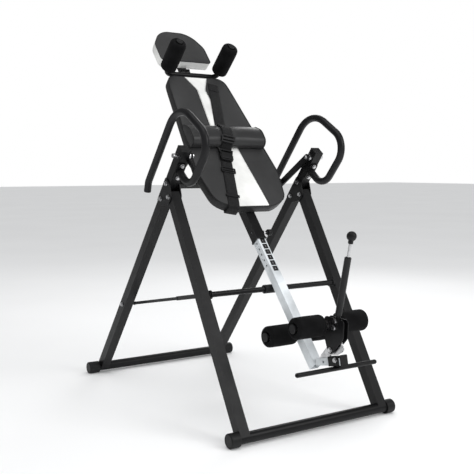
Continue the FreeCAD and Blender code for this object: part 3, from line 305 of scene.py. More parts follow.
LOOKS = {
    "black_steel": powder_coat("black_powder_coat", (0.0055, 0.0055, 0.006), 0.4),
    "stay_steel": powder_coat("stay_paint", (0.014, 0.014, 0.0145), 0.42),
    "handle_steel": powder_coat("handle_coat", (0.011, 0.011, 0.012), 0.36),
    "grip": rubber_sleeve("grip_sleeve", (0.014, 0.014, 0.015), 0.42),
    "black_plastic": moulded_plastic("black_moulding", (0.009, 0.009, 0.0095)),
    "zinc": zinc("zinc_plate", (0.62, 0.62, 0.63)),
    "white_steel": powder_coat("silver_white_paint", (0.60, 0.63, 0.65), 0.32),
    "board": back_cloth("backing_cloth", (0.015, 0.015, 0.016)),
    "vinyl": vinyl("charcoal_vinyl", (0.028, 0.028, 0.0285)),
    "pillow_vinyl": vinyl("lumbar_vinyl", (0.020, 0.020, 0.0205), 0.4),
    "foam": foam("black_foam", (0.0060, 0.0060, 0.0064)),
    "pad_foam": foam("shoulder_foam", (0.0062, 0.0062, 0.0066)),
    "webbing": webbing("black_webbing", (0.008, 0.008, 0.0085)),
    "rubber": rubber_sleeve("bumper_rubber", (0.012, 0.012, 0.013), 0.6),
}
WHITE_VINYL = vinyl("white_vinyl", (0.80, 0.80, 0.78), 0.42)
EDGE_VINYL = vinyl("black_edge_vinyl", (0.006, 0.006, 0.0065), 0.5)
THREAD = moulded_plastic("black_thread", (0.02, 0.02, 0.021), 0.7)
SCALE_INK = moulded_plastic("scale_ink", (0.014, 0.014, 0.015), 0.45)
NUMBER_INK = moulded_plastic("number_ink", (0.30, 0.30, 0.31), 0.5)


def dress_cad_nodes():
    for entry in record["subparts"]:
        piece = nodes[entry["node"]]
        piece.data.materials.clear()
        piece.data.materials.append(LOOKS[entry["material_slot"]])


# ---------------------------------------------------------------- mesh helpers

def arc_corners(corners, step=math.radians(9)):
    """A closed outline from (x, y, radius) corners, its round stretches as arcs of points."""
    points = []
    count = len(corners)
    for index, (x, y, radius) in enumerate(corners):
        here = Vector((x, y))
        before = (Vector(corners[index - 1][:2]) - here).normalized()
        after = (Vector(corners[(index + 1) % count][:2]) - here).normalized()
        half = before.angle(after) / 2
        if radius <= 0:
            points.append(here)
            continue
        centre = here + (before + after).normalized() * (radius / math.sin(half))
        first = here + before * (radius / math.tan(half)) - centre
        last = here + after * (radius / math.tan(half)) - centre
        sweep = first.angle_signed(last)
        parts = max(1, round(abs(sweep) / step))
        for part in range(parts + 1):
            turned = first.copy()
            turned.rotate(Matrix.Rotation(-sweep * part / parts, 2))
            points.append(centre + turned)
    return points


def interpolate(table, value):
    """Linear interpolation in (place, result) rows, in falling order of place."""
    for (high, first), (low, second) in zip(table, table[1:]):
        if value >= low:
            return second + (first - second) * (value - low) / (high - low)
    return table[-1][1]


def half_width(outline, along):
    """The outline's greatest reach to +X on the line at this place along it."""
    reach = 0.0
    for index, end in enumerate(outline):
        start = outline[index - 1]
        low, high = sorted((start, end), key=lambda point: point.y)
        if low.y - 1e-9 <= along <= high.y + 1e-9:
            share = 0.5 if high.y - low.y < 1e-9 else (along - low.y) / (high.y - low.y)
            share = min(1.0, max(0.0, share))
            reach = max(reach, low.x + (high.x - low.x) * share, high.x if high.y - low.y < 1e-9 else 0.0)
    return reach


def new_piece(name, vertices, faces, materials, indices=None, smooth=True):
    mesh = bpy.data.meshes.new(name)
    mesh.from_pydata([tuple(v) for v in vertices], [], faces)
    for material in materials:
        mesh.materials.append(material)
    if indices:
        mesh.polygons.foreach_set("material_index", indices)
    mesh.polygons.foreach_set("use_smooth", [smooth] * len(mesh.polygons))
    mesh.validate()
    mesh.update()
    piece = bpy.data.objects.new(name, mesh)
    bpy.context.scene.collection.objects.link(piece)
    return piece


def soften(piece):
    subdivision = piece.modifiers.new("Subdivision", "SUBSURF")
    subdivision.levels = 1
    subdivision.render_levels = 1


def settle(piece, place, body):
    """Puts a piece in place, on its CAD body."""
    piece.matrix_world = place
    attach(piece, body)


def as_mesh(curve_object, name, materials):
    """The curve's own mesh as a new piece."""
    bpy.context.view_layer.update()
    depsgraph = bpy.context.evaluated_depsgraph_get()
    mesh = bpy.data.meshes.new_from_object(curve_object.evaluated_get(depsgraph))
    data = curve_object.data
    bpy.data.objects.remove(curve_object)
    bpy.data.curves.remove(data)
    mesh.materials.clear()
    for material in materials:
        mesh.materials.append(material)
    piece = bpy.data.objects.new(name, mesh)
    bpy.context.scene.collection.objects.link(piece)
    return piece


def welt(name, points, radius, material, cyclic=True):
    """A round piping that follows points."""
    curve = bpy.data.curves.new(name, "CURVE")
    curve.dimensions = "3D"
    curve.bevel_depth = radius
    curve.bevel_resolution = 2
    curve.use_fill_caps = True
    spline = curve.splines.new("POLY")
    spline.points.add(len(points) - 1)
    for target, point in zip(spline.points, points):
        target.co = (*point, 1)
    spline.use_cyclic_u = cyclic
    drawn = bpy.data.objects.new(name, curve)
    bpy.context.scene.collection.objects.link(drawn)
    piece = as_mesh(drawn, name, [material])
    for polygon in piece.data.polygons:
        polygon.use_smooth = True
    return piece


def flat_shape(name, outlines, thickness, edge, materials):
    """A flat moulding: the first outline with the others cut out of it, with rounded edges."""
    curve = bpy.data.curves.new(name, "CURVE")
    curve.dimensions = "2D"
    curve.fill_mode = "BOTH"
    curve.extrude = thickness / 2 - edge
    curve.bevel_depth = edge
    curve.bevel_resolution = 2
    curve.offset = -edge
    for outline in outlines:
        spline = curve.splines.new("POLY")
        spline.points.add(len(outline) - 1)
        for target, point in zip(spline.points, outline):
            target.co = (point[0], point[1], 0, 1)
        spline.use_cyclic_u = True
    drawn = bpy.data.objects.new(name, curve)
    bpy.context.scene.collection.objects.link(drawn)
    return as_mesh(drawn, name, materials)


def rectangle(centre_x, centre_y, wide, high, radius):
    corners = []
    for x, y in ((-1, -1), (1, -1), (1, 1), (-1, 1)):
        corners.append((centre_x + x * wide / 2, centre_y + y * high / 2, radius))
    return arc_corners(corners, math.radians(18))


def inflate(piece, pinned, most):
    """Cloth simulation: pressure fills the cover between its pinned seams. No point moves more than most."""
    rest = [v.co.copy() for v in piece.data.vertices]
    scene = bpy.context.scene
    group = piece.vertex_groups.new(name="seams")
    for index, weight in pinned.items():
        group.add([index], weight, "REPLACE")
    cloth = piece.modifiers.new("Cloth", "CLOTH")
    cloth.settings.quality = 6
    cloth.settings.mass = 0.25
    cloth.settings.tension_stiffness = 18
    cloth.settings.compression_stiffness = 12
    cloth.settings.shear_stiffness = 6
    cloth.settings.bending_stiffness = 2.5
    cloth.settings.use_pressure = True
    cloth.settings.uniform_pressure_force = FILL_PRESSURE
    cloth.settings.vertex_group_mass = "seams"
    cloth.settings.effector_weights.gravity = 0
    cloth.point_cache.frame_start = 1
    cloth.point_cache.frame_end = FILL_FRAMES
    for step in range(1, FILL_FRAMES + 1):
        scene.frame_set(step)
    depsgraph = bpy.context.evaluated_depsgraph_get()
    filled = [v.co.copy() for v in piece.evaluated_get(depsgraph).data.vertices]
    piece.modifiers.remove(cloth)
    piece.vertex_groups.remove(group)
    scene.frame_set(1)
    for vertex, before, after in zip(piece.data.vertices, rest, filled):
        move = after - before
        if move.length > 1e-9:
            move *= most * math.tanh(move.length / most) / move.length
        vertex.co = before + move


# ---------------------------------------------------------------- cushions

def slab_cushion(name, outline, breaks, low, high, board, materials, crown):
    """A cushion on a board, seen from the front as outline; breaks(along) gives its seams' places
    across, as half widths. Returns the piece, its front edge and its seam lines as vertex numbers."""
    top = max(point.y for point in outline) - 0.0008
    foot = min(point.y for point in outline) + 0.0008
    rows = []
    count = 64
    for row in range(count + 1):
        share = (1 - math.cos(math.pi * row / count)) / 2
        share = 0.7 * share + 0.3 * row / count
        rows.append(foot + (top - foot) * share)
    side, middle = 12, 8
    vertices, grid = [], []
    for along in rows:
        wide = half_width(outline, along)
        seam = min(breaks(along), 0.82 * wide)
        across = [-wide + (wide - seam) * k / side for k in range(side)]
        across += [-seam + 2 * seam * k / middle for k in range(middle)]
        across += [seam + (wide - seam) * k / side for k in range(side + 1)]
        grid.append([len(vertices) + k for k in range(len(across))])
        vertices += [Vector((x, along, high)) for x in across]
    columns = len(grid[0])
    faces, indices = [], []
    for row in range(count):
        for column in range(columns - 1):
            near, far = grid[row], grid[row + 1]
            faces.append((near[column], near[column + 1], far[column + 1], far[column]))
            indices.append(1 if side <= column < side + middle else 0)
    ring = grid[0][:-1] + [line[-1] for line in grid[:-1]]
    ring += grid[-1][:0:-1] + [line[0] for line in grid[:0:-1]]
    edge = list(ring)
    centre = Vector((0, (top + foot) / 2, 0))
    levels = [(high - 0.003, 1.004), (high - (high - board) * 0.5, 1.006), (board, 1.0), (low, 1.0)]
    last = ring
    for level, spread in levels:
        fresh = []
        for index in ring:
            point = vertices[index]
            fresh.append(len(vertices))
            reach = Vector((point.x, point.y, 0)) - centre
            vertices.append(Vector((centre.x + reach.x * spread, centre.y + reach.y * spread, level)))
        for number in range(len(ring)):
            after = (number + 1) % len(ring)
            faces.append((last[number], fresh[number], fresh[after], last[after]))
            indices.append(2)
        last = fresh
    under = {ring[number]: last[number] for number in range(len(ring))}
    for line in grid:
        for index in line:
            if index not in under:
                point = vertices[index]
                under[index] = len(vertices)
                vertices.append(Vector((point.x, point.y, low)))
    for row in range(count):
        for column in range(columns - 1):
            near, far = grid[row], grid[row + 1]
            corners = (near[column], far[column], far[column + 1], near[column + 1])
            faces.append(tuple(under[index] for index in corners))
            indices.append(3)
    piece = new_piece(name, vertices, faces, materials, indices)
    seams = [[line[side] for line in grid], [line[side + middle] for line in grid]]
    pinned = {index: 1.0 for index, point in enumerate(vertices) if point.z <= board + 1e-6}
    for index in edge:
        pinned[index] = 0.85
    for line in seams:
        for index in line:
            pinned[index] = 1.0
    inflate(piece, pinned, crown)
    return piece, edge, seams


def stitches(name, points, normals, pitch, long, material):
    """A row of short raised stitches along a line of points."""
    vertices, faces = [], []
    travelled, wanted = 0.0, pitch / 2
    for (start, end), normal in zip(zip(points, points[1:]), normals):
        run = end - start
        reach = run.length
        if reach < 1e-7:
            continue
        way = run / reach
        cross = normal.cross(way).normalized()
        while wanted <= travelled + reach:
            centre = start + way * (wanted - travelled) + normal * 0.0002
            first = len(vertices)
            half, wide, high = long / 2, 0.00045, 0.00055
            for step, rise in ((-half, 0.0), (-half * 0.5, high), (half * 0.5, high), (half, 0.0)):
                for side in (-wide, wide):
                    vertices.append(centre + way * step + cross * side + normal * rise)
            for k in (0, 2, 4):
                faces.append((first + k, first + k + 2, first + k + 3, first + k + 1))
            faces.append((first, first + 1, first + 7, first + 6))
            for k in (0, 1):
                faces.append((first + k, first + k + 2, first + k + 4, first + k + 6)[::1 - 2 * k])
            wanted += pitch
        travelled += reach
    return new_piece(name, vertices, faces, [material], smooth=False)


def seam_stitches(name, cushion, line, shift, material):
    """Stitches beside a seam of a cushion, lying on its surface."""
    surface = BVHTree.FromPolygons([v.co for v in cushion.data.vertices],
                                   [tuple(p.vertices) for p in cushion.data.polygons])
    points, normals = [], []
    for index in line:
        near = cushion.data.vertices[index].co
        hit, normal, _, _ = surface.ray_cast(Vector((near.x + shift, near.y, 0.2)), Vector((0, 0, -1)))
        if hit is not None:
            points.append(hit)
            normals.append(normal)
    return stitches(name, points, normals, 0.0055, 0.0036, material)


def backrest():
    left = [(-BACK_NARROW * 0.93, BACK_TOP, 0.042), (-BACK_NARROW, BACK_TOP - 0.060, 0.200),
            (-BACK_WIDE, 0.012, 0.160), (-BACK_WIDE * 0.86, BACK_FOOT + 0.036, 0.060),
            (-BACK_WIDE * 0.5, BACK_FOOT, 0.120)]
    outline = arc_corners(left + [(-x, y, r) for x, y, r in reversed(left)], math.radians(4))
    materials = [LOOKS["vinyl"], WHITE_VINYL, EDGE_VINYL, LOOKS["board"]]
    cushion, edge, seams = slab_cushion("backrest_cushion", outline, lambda along: interpolate(STRIPE, along),
                                        BACK_LOW, BACK_HIGH, BACK_BOARD, materials, 0.0028)
    pieces = []
    for number, line in enumerate(seams):
        for shift in (-0.003, 0.003):
            label = "backrest_stitches_%d_%s" % (number + 1, "left" if shift < 0 else "right")
            pieces.append(seam_stitches(label, cushion, line[2:-2], shift, THREAD))
    rim = [cushion.data.vertices[index].co + Vector((0, 0, -0.0004)) for index in edge]
    pieces.append(welt("backrest_piping", rim, 0.0019, EDGE_VINYL))
    for number, line in enumerate(seams):
        points = [cushion.data.vertices[index].co + Vector((0, 0, -0.0004)) for index in line]
        pieces.append(welt("backrest_seam_%d" % (number + 1), points, 0.0008, EDGE_VINYL, cyclic=False))
    soften(cushion)
    settle(cushion, BED, "bed")
    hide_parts("backrest_pad", "backboard")
    for piece in pieces:
        settle(piece, BED, "bed")
    return cushion


def head_pillow():
    corners = [(-HEAD_HALF, HEAD_LOW, 0.016), (HEAD_HALF, HEAD_LOW, 0.016),
               (HEAD_HALF, HEAD_TOP - 0.085, 0.070), (HEAD_HALF * 0.6, HEAD_TOP, 0.090),
               (-HEAD_HALF * 0.6, HEAD_TOP, 0.090), (-HEAD_HALF, HEAD_TOP - 0.085, 0.070)]
    outline = arc_corners(corners, math.radians(4))
    materials = [LOOKS["vinyl"], LOOKS["vinyl"], WHITE_VINYL, LOOKS["board"]]
    pillow, edge, _ = slab_cushion("head_cushion", outline, lambda along: 0.04, HEAD_BACK, HEAD_FACE,
                                   HEAD_BOARD, materials, 0.0032)
    rim = [pillow.data.vertices[index].co + Vector((0, 0, -0.0003)) for index in edge]
    piping = welt("head_piping", rim, 0.0018, EDGE_VINYL)
    soften(pillow)
    settle(pillow, BED, "bed")
    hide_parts("head_pillow", "head_board")
    settle(piping, BED, "bed")


def lumbar_roll():
    """A half-round roll with sewn end caps, pressed in where the webbing crosses it."""
    profile = arc_corners([(-ROLL_HALF, 0, 0.010), (ROLL_HALF, 0, 0.008),
                           (ROLL_HALF, ROLL_HIGH * 0.42, 0.016), (ROLL_HALF * 0.2, ROLL_HIGH, 0.060),
                           (-ROLL_HALF, ROLL_HIGH * 0.93, 0.026)])
    stations = 56
    around = len(profile)
    middle = Vector((0, ROLL_HIGH * 0.45))
    vertices, faces = [], []
    for station in range(stations + 1):
        x = ROLL_LEFT + (ROLL_RIGHT - ROLL_LEFT) * station / stations
        for point in profile:
            vertices.append(Vector((x, point.x, point.y)))
    for station in range(stations):
        for k in range(around):
            after = (k + 1) % around
            first = station * around
            faces.append((first + k, first + after, first + around + after, first + around + k))
    ends = []
    for station, flip in ((0, True), (stations, False)):
        last = [station * around + k for k in range(around)]
        ends.append(list(last))
        x = vertices[last[0]].x
        for scale in (0.9, 0.62, 0.3):
            fresh = []
            for point in profile:
                inner = middle + (point - middle) * scale
                fresh.append(len(vertices))
                vertices.append(Vector((x, inner.x, inner.y)))
            for k in range(around):
                after = (k + 1) % around
                face = (last[k], last[after], fresh[after], fresh[k])
                faces.append(face[::-1] if flip else face)
            last = fresh
        centre = len(vertices)
        vertices.append(Vector((x, middle.x, middle.y)))
        for k in range(around):
            face = (last[k], last[(k + 1) % around], centre)
            faces.append(face[::-1] if flip else face)
    roll = new_piece("lumbar_roll", vertices, faces, [LOOKS["pillow_vinyl"]])
    pinned = {index: 1.0 for index, point in enumerate(vertices) if point.z < 0.0015}
    for end in ends:
        for index in end:
            pinned[index] = 0.9
    inflate(roll, pinned, 0.0038)
    crossing = STRAP_X + ROLL_ALONG * math.tan(STRAP_TURN)
    for vertex in roll.data.vertices:
        line = crossing + vertex.co.y * math.tan(STRAP_TURN)
        off = abs(vertex.co.x - line) - STRAP_WIDE / 2
        press = 1.0 if off < 0 else math.exp(-(off / 0.012) ** 2)
        if vertex.co.z > 0.004:
            depth = 0.0035 * press
            side = vertex.co.y / ROLL_HALF
            vertex.co.z -= depth * (1 - 0.5 * abs(side))
            vertex.co.y -= depth * 0.6 * side
            vertex.co.z += 0.0011 * noise.noise(Vector((vertex.co.x * 22, vertex.co.y * 14, 3.1)))
    pieces = []
    for label, end in zip(("left", "right"), ends):
        points = [roll.data.vertices[index].co.copy() for index in end]
        pieces.append(welt("lumbar_piping_" + label, points, 0.0019, EDGE_VINYL))
    for label, side in (("foot", -1), ("head", 1)):
        picked = max(range(around), key=lambda k: (side * profile[k].x, -profile[k].y))
        points = [roll.data.vertices[station * around + picked].co.copy() for station in range(stations + 1)]
        pieces.append(welt("lumbar_seam_" + label, points, 0.0012, EDGE_VINYL, cyclic=False))
    soften(roll)
    place = BED @ Matrix.Translation((0, ROLL_ALONG, ROLL_BASE))
    settle(roll, place, "bed")
    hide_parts("lumbar_pillow")
    for piece in pieces:
        settle(piece, place, "bed")
    return roll


# ---------------------------------------------------------------- foam rollers and shoulder pads

def foam_sleeve(name, inner, outer, long, round_start, round_end, seed):
    """A foam tube along Z from 0 to long, with soft ends, a slight belly and shallow dents."""
    profile = [(inner, round_start * 0.25)]
    for part in range(7):
        turn = math.pi / 2 * part / 6
        profile.append((outer - round_start * (1 - math.sin(turn)), round_start * (1 - math.cos(turn))))
    for part in range(1, 12):
        share = part / 12
        profile.append((outer + 0.0004 * math.sin(math.pi * share),
                        round_start + (long - round_start - round_end) * share))
    for part in range(7):
        turn = math.pi / 2 * part / 6
        profile.append((outer - round_end * (1 - math.cos(turn)), long - round_end * (1 - math.sin(turn))))
    profile.append((inner, long - round_end * 0.25))
    around = 56
    vertices, faces = [], []
    for radius, height in profile:
        for k in range(around):
            turn = 2 * math.pi * k / around
            way = Vector((math.cos(turn), math.sin(turn), 0))
            dent = noise.noise(Vector((way.x * 1.6 + seed, way.y * 1.6, height * 26)))
            reach = radius + (0.0007 * dent if radius > inner else 0.0)
            vertices.append(way * reach + Vector((0, 0, height)))
    for row in range(len(profile)):
        below = (row + 1) % len(profile)
        for k in range(around):
            after = (k + 1) % around
            faces.append((row * around + k, row * around + after, below * around + after, below * around + k))
    piece = new_piece(name, vertices, faces, [LOOKS["foam"]])
    soften(piece)
    return piece


def ankle_rollers():
    names = ("rear_roller_left", "rear_roller_right", "front_roller_left", "front_roller_right")
    for seed, name in enumerate(names):
        low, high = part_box(name)
        centre = (low + high) / 2
        radius = (high.z - low.z) / 2 - 0.0004
        long = high.x - low.x
        piece = foam_sleeve(name + "_foam", AXLE_RADIUS, radius, long, 0.011, 0.011, seed * 4.7)
        place = Matrix.Translation((low.x, centre.y, centre.z)) @ Matrix.Rotation(math.pi / 2, 4, "Y")
        settle(piece, place, name)
        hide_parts(name)


def shoulder_pads():
    frame_shoulder = BED @ Matrix.Translation((0, SHOULDER_ALONG, SHOULDER_OUT)) \
        @ Matrix.Rotation(-SHOULDER_TILT, 4, "X")
    for label, side in (("left", -1), ("right", 1)):
        piece = foam_sleeve("shoulder_pad_%s_foam" % label, SHOULDER_BORE, SHOULDER_RADIUS, SHOULDER_LONG,
                            0.013, 0.016, 9.3 + side)
        foot = SHOULDER_TIP - SHOULDER_LONG - 0.001
        place = frame_shoulder @ Matrix.Translation((side * SHOULDER_X, 0, foot))
        settle(piece, place, "bed")
    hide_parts("shoulder_pads")


# ---------------------------------------------------------------- webbing and its hardware

def strap_heights(cushions):
    """How high the webbing runs above its frame's origin plane, as (along, height) points."""
    vertices, polygons = [], []
    to_strap = STRAP.inverted()
    for cushion in cushions:
        base = len(vertices)
        matrix = to_strap @ cushion.matrix_world
        vertices += [matrix @ v.co for v in cushion.data.vertices]
        polygons += [tuple(base + k for k in p.vertices) for p in cushion.data.polygons]
    surface = BVHTree.FromPolygons(vertices, polygons)
    step = 0.004
    places = []
    along = STRAP_TOP
    while along > STRAP_END:
        level = None
        for share in (-0.5, -0.25, 0, 0.25, 0.5):
            hit = surface.ray_cast(Vector((share * STRAP_WIDE, along, 0.3)), Vector((0, 0, -1)))[0]
            if hit is not None:
                level = hit.z if level is None else max(level, hit.z)
        if level is None or level < 0.05:
            break
        places.append((along, level))
        along -= step
    slope = 1.3
    taut = [max(h - slope * abs(a - b) for b, h in places) for a, _ in places]
    for _ in range(4):
        lower = taut[:1] + taut[:-1]
        upper = taut[1:] + taut[-1:]
        taut = [(before + 2 * here + after) / 4 for before, here, after in zip(lower, taut, upper)]
    gap = STRAP_THICK / 2 + STRAP_GAP
    return [(a, max(level, bare) + gap) for (a, bare), level in zip(places, taut)]


def ribbon(name, path, wide, thick, material):
    """Webbing that follows path, a list of (along, height), with rounded selvedges."""
    section = []
    columns = 8
    for k in range(columns + 1):
        x = wide * (k / columns - 0.5)
        edge = 0.35 if k in (0, columns) else 1.0
        section.append((x, thick / 2 * edge))
    section += [(x, -z) for x, z in reversed(section)]
    vertices, faces = [], []
    count = len(section)
    for number, (along, level) in enumerate(path):
        before = path[max(0, number - 1)]
        after = path[min(len(path) - 1, number + 1)]
        run = Vector((after[0] - before[0], after[1] - before[1])).normalized()
        normal = Vector((run.y, -run.x))
        for x, z in section:
            vertices.append(Vector((x, along + normal.x * z, level + normal.y * z)))
    for number in range(len(path) - 1):
        for k in range(count):
            after = (k + 1) % count
            first = number * count
            faces.append((first + k, first + count + k, first + count + after, first + after))
    faces.append(tuple(range(count)))
    faces.append(tuple(range((len(path) - 1) * count, len(path) * count))[::-1])
    return new_piece(name, vertices, faces, [material])


def point_on(path, along):
    """Height and slope of the path at a place along it."""
    for (a, first), (b, second) in zip(path, path[1:]):
        if a >= along >= b:
            share = (a - along) / (a - b)
            return first + (second - first) * share, math.atan2(first - second, a - b)
    return path[-1][1], 0.0


def on_strap(path, along, lift):
    level, slope = point_on(path, along)
    return STRAP @ Matrix.Translation((0, along, level)) @ Matrix.Rotation(slope, 4, "X") \
        @ Matrix.Translation((0, 0, lift))


def ladder_lock(name, wide, long, thick):
    """A webbing adjuster: a flat frame with two slots."""
    slot_wide = wide - 0.010
    outlines = [rectangle(0, 0, wide, long, 0.0035),
                rectangle(0, long * 0.24, slot_wide, long * 0.20, 0.0012),
                rectangle(0, -long * 0.22, slot_wide, long * 0.20, 0.0012)]
    return flat_shape(name, outlines, thick, 0.0008, [LOOKS["black_plastic"]])


def side_release_buckle():
    """The two halves of a side-release buckle, as flat mouldings with open sides."""
    wide, long = 0.056, 0.040
    body = [(-wide / 2 + 0.004, -long / 2, 0.004), (wide / 2 - 0.004, -long / 2, 0.004),
            (wide / 2, -0.008, 0.003), (wide / 2 - 0.007, -0.003, 0.002), (wide / 2 - 0.007, 0.010, 0.002),
            (wide / 2, 0.014, 0.003), (wide / 2, long / 2, 0.003), (-wide / 2, long / 2, 0.003),
            (-wide / 2, 0.014, 0.003), (-wide / 2 + 0.007, 0.010, 0.002), (-wide / 2 + 0.007, -0.003, 0.002),
            (-wide / 2, -0.008, 0.003)]
    slot = rectangle(0, -long / 2 + 0.006, wide - 0.016, 0.0035, 0.001)
    female = flat_shape("buckle_body", [arc_corners(body, math.radians(18)), slot], 0.0100, 0.0018,
                        [LOOKS["black_plastic"]])
    prongs = []
    for side in (-1, 1):
        corners = [(side * (wide / 2 - 0.0005), -0.006, 0.002), (side * (wide / 2 - 0.0005), 0.012, 0.002),
                   (side * (wide / 2 - 0.0065), 0.008, 0.0015), (side * (wide / 2 - 0.0065), -0.002, 0.0015)]
        outline = arc_corners(corners, math.radians(20))
        label = "buckle_prong_" + ("left" if side < 0 else "right")
        prongs.append(flat_shape(label, [outline], 0.0062, 0.0010, [LOOKS["black_plastic"]]))
    male = flat_shape("buckle_bar", [rectangle(0, 0, wide, 0.018, 0.0035),
                                     rectangle(0, 0.001, wide - 0.012, 0.0050, 0.001)],
                      0.0070, 0.0012, [LOOKS["black_plastic"]])
    return female, prongs, male


def strap(cushions):
    path = strap_heights(cushions)
    last_along, last_level = path[-1]
    rounding = 0.010
    turn_path = []
    for part in range(1, 7):
        turn = math.pi / 2 * part / 6
        turn_path.append((last_along - rounding * math.sin(turn),
                          last_level - rounding * (1 - math.cos(turn))))
    behind = BACK_LOW - 0.0012
    turn_path.append((last_along - rounding, (last_level - rounding + behind) / 2))
    turn_path.append((last_along - rounding, behind + 0.004))
    turn_path.append((last_along - rounding + 0.003, behind))
    turn_path += [(last_along + 0.012 * k, behind) for k in range(0, 4)]
    belt = ribbon("strap_webbing", path + turn_path, STRAP_WIDE, STRAP_THICK, LOOKS["webbing"])
    settle(belt, STRAP, "bed")
    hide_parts("lumbar_strap")

    top_fold = [(a, h + STRAP_THICK + 0.0002) for a, h in path if a >= STRAP_TOP - 0.048]
    fold = ribbon("strap_sewn_fold", top_fold, STRAP_WIDE - 0.001, STRAP_THICK, LOOKS["webbing"])
    settle(fold, STRAP, "bed")
    half = STRAP_WIDE / 2 - 0.006
    sewing = []
    for x in (-half, half):
        sewing.append([Vector((x, a, h + STRAP_THICK / 2)) for a, h in top_fold[1:-1]])
    for a, h in (top_fold[1], top_fold[-2]):
        sewing.append([Vector((-half + 2 * half * k / 6, a, h + STRAP_THICK / 2)) for k in range(7)])
    for number, points in enumerate(sewing):
        row = stitches("strap_sewing_%d" % (number + 1), points, [Vector((0, 0, 1))] * len(points),
                       0.0046, 0.0032, THREAD)
        settle(row, STRAP, "bed")

    lifted = [(a, h + STRAP_THICK + STRAP_GAP) for a, h in path]
    doubled = [(a, h) for a, h in lifted if TAIL_FOOT <= a <= TAIL_HEAD]
    tail = ribbon("strap_tail", doubled, STRAP_WIDE - 0.002, STRAP_THICK, LOOKS["webbing"])
    settle(tail, STRAP, "bed")
    over_roll = [(a, h) for a, h in lifted if OVER_ROLL_FOOT <= a <= OVER_ROLL_HEAD]
    upper_tail = ribbon("strap_upper_tail", over_roll, STRAP_WIDE - 0.001, STRAP_THICK, LOOKS["webbing"])
    settle(upper_tail, STRAP, "bed")

    female, prongs, male = side_release_buckle()
    hardware = [(ladder_lock("upper_adjuster", 0.058, 0.030, 0.0042), UPPER_ADJUSTER, 0.0046),
                (female, BUCKLE_BODY, 0.0080), (male, BUCKLE_BAR, 0.0075),
                (ladder_lock("lower_adjuster", 0.060, 0.026, 0.0042), LOWER_ADJUSTER, 0.0046),
                (flat_shape("strap_keeper", [rectangle(0, 0, 0.056, 0.012, 0.002)], 0.0030, 0.0008,
                            [LOOKS["black_plastic"]]), KEEPER, 0.0040)]
    hardware += [(prong, BUCKLE_BODY, 0.0080) for prong in prongs]
    for piece, along, lift in hardware:
        settle(piece, on_strap(path, along, lift), "bed")
    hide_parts("strap_buckles")


# ---------------------------------------------------------------- scale on the adjusting tube

def height_scale():
    """Printed blocks with numbers on the white tube's front, thin enough to enter the bed's tube."""
    for number in range(6):
        along = SCALE_FIRST - SCALE_PITCH * number
        outline = rectangle(0, 0, SCALE_BLOCK, SCALE_BLOCK, 0.0012)
        block = flat_shape("scale_block_%d" % (number + 1), [outline], 0.00006, 0.00002, [SCALE_INK])
        place = BED @ Matrix.Translation((0.002, along, SLIDE_FACE + 0.00006))
        settle(block, place, "leg_slide")
        text = bpy.data.curves.new("scale_number_%d" % (number + 1), "FONT")
        text.body = str(number + 1)
        text.size = 0.010
        text.extrude = 0.00004
        text.align_x = "CENTER"
        text.align_y = "CENTER"
        drawn = bpy.data.objects.new(text.name, text)
        bpy.context.scene.collection.objects.link(drawn)
        digit = as_mesh(drawn, "scale_number_%d" % (number + 1), [NUMBER_INK])
        settle(digit, place @ Matrix.Translation((0, 0, 0.00012)), "leg_slide")


# ---------------------------------------------------------------- studio

def area_light(name, place, target, size, energy):
    light = bpy.data.lights.new(name, "AREA")
    light.shape = "RECTANGLE"
    light.size, light.size_y = size
    light.energy = energy
    lamp = bpy.data.objects.new(name, light)
    lamp.location = place
    lamp.rotation_euler = (Vector(target) - Vector(place)).to_track_quat("-Z", "Y").to_euler()
    bpy.context.scene.collection.objects.link(lamp)


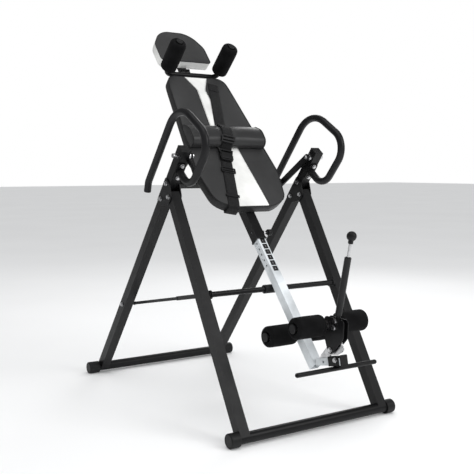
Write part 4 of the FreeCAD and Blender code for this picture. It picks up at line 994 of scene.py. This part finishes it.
def studio():
    scene = bpy.context.scene
    scene.view_settings.view_transform = "Standard"
    world = bpy.data.worlds.new("studio")
    world.use_nodes = True
    tree = world.node_tree
    ambient = tree.nodes["Background"]
    ambient.inputs["Color"].default_value = (0.98, 0.99, 1, 1)
    ambient.inputs["Strength"].default_value = AMBIENT
    path = tree.nodes.new("ShaderNodeLightPath")
    shader = ambient.outputs["Background"]
    for ray, strength in (("Is Glossy Ray", MIRRORED), ("Is Camera Ray", 1.0)):
        other = tree.nodes.new("ShaderNodeBackground")
        other.inputs["Color"].default_value = (1, 1, 1, 1)
        other.inputs["Strength"].default_value = strength
        mix = tree.nodes.new("ShaderNodeMixShader")
        tree.links.new(path.outputs[ray], mix.inputs["Fac"])
        tree.links.new(shader, mix.inputs[1])
        tree.links.new(other.outputs["Background"], mix.inputs[2])
        shader = mix.outputs["Shader"]
    tree.links.new(shader, tree.nodes["World Output"].inputs["Surface"])
    scene.world = world
    floor_look = Shader("pale_floor", (0.95, 0.95, 0.95), 0.7)
    floor_look.tint(floor_look.noise(0.8, 3.0), 0.985, 1.01)
    floor_look.bump((floor_look.noise(160.0, 3.0), 0.05, 0.0005))
    reach = 40.0
    corners = [(x * reach, y * reach, -FLOOR_DROP) for x, y in ((-1, -1), (1, -1), (1, 1), (-1, 1))]
    floor = new_piece("floor", corners, [(0, 1, 2, 3)], [floor_look.material], smooth=False)
    area_light("key", (1.9, -3.6, 3.0), (0, 0, 0.8), (2.4, 2.2), 80)
    area_light("top", (-0.4, -0.6, 4.2), (0, 0, 0.6), (3.0, 3.0), 40)
    area_light("rim", (2.4, 2.2, 2.6), (0, 0, 0.9), (1.4, 2.0), 25)
    camera_data = bpy.data.cameras.new("camera")
    camera_data.lens = CAMERA_LENS
    camera_data.sensor_width = 36.0
    camera = bpy.data.objects.new("camera", camera_data)
    camera.location = CAMERA_PLACE
    camera.rotation_euler = (math.pi / 2 - CAMERA_PITCH, 0, CAMERA_TURN)
    scene.collection.objects.link(camera)
    scene.camera = camera


dress_cad_nodes()
cushion = backrest()
head_pillow()
roll = lumbar_roll()
strap([cushion, roll])
ankle_rollers()
shoulder_pads()
height_scale()
studio()

bpy.context.view_layer.update()
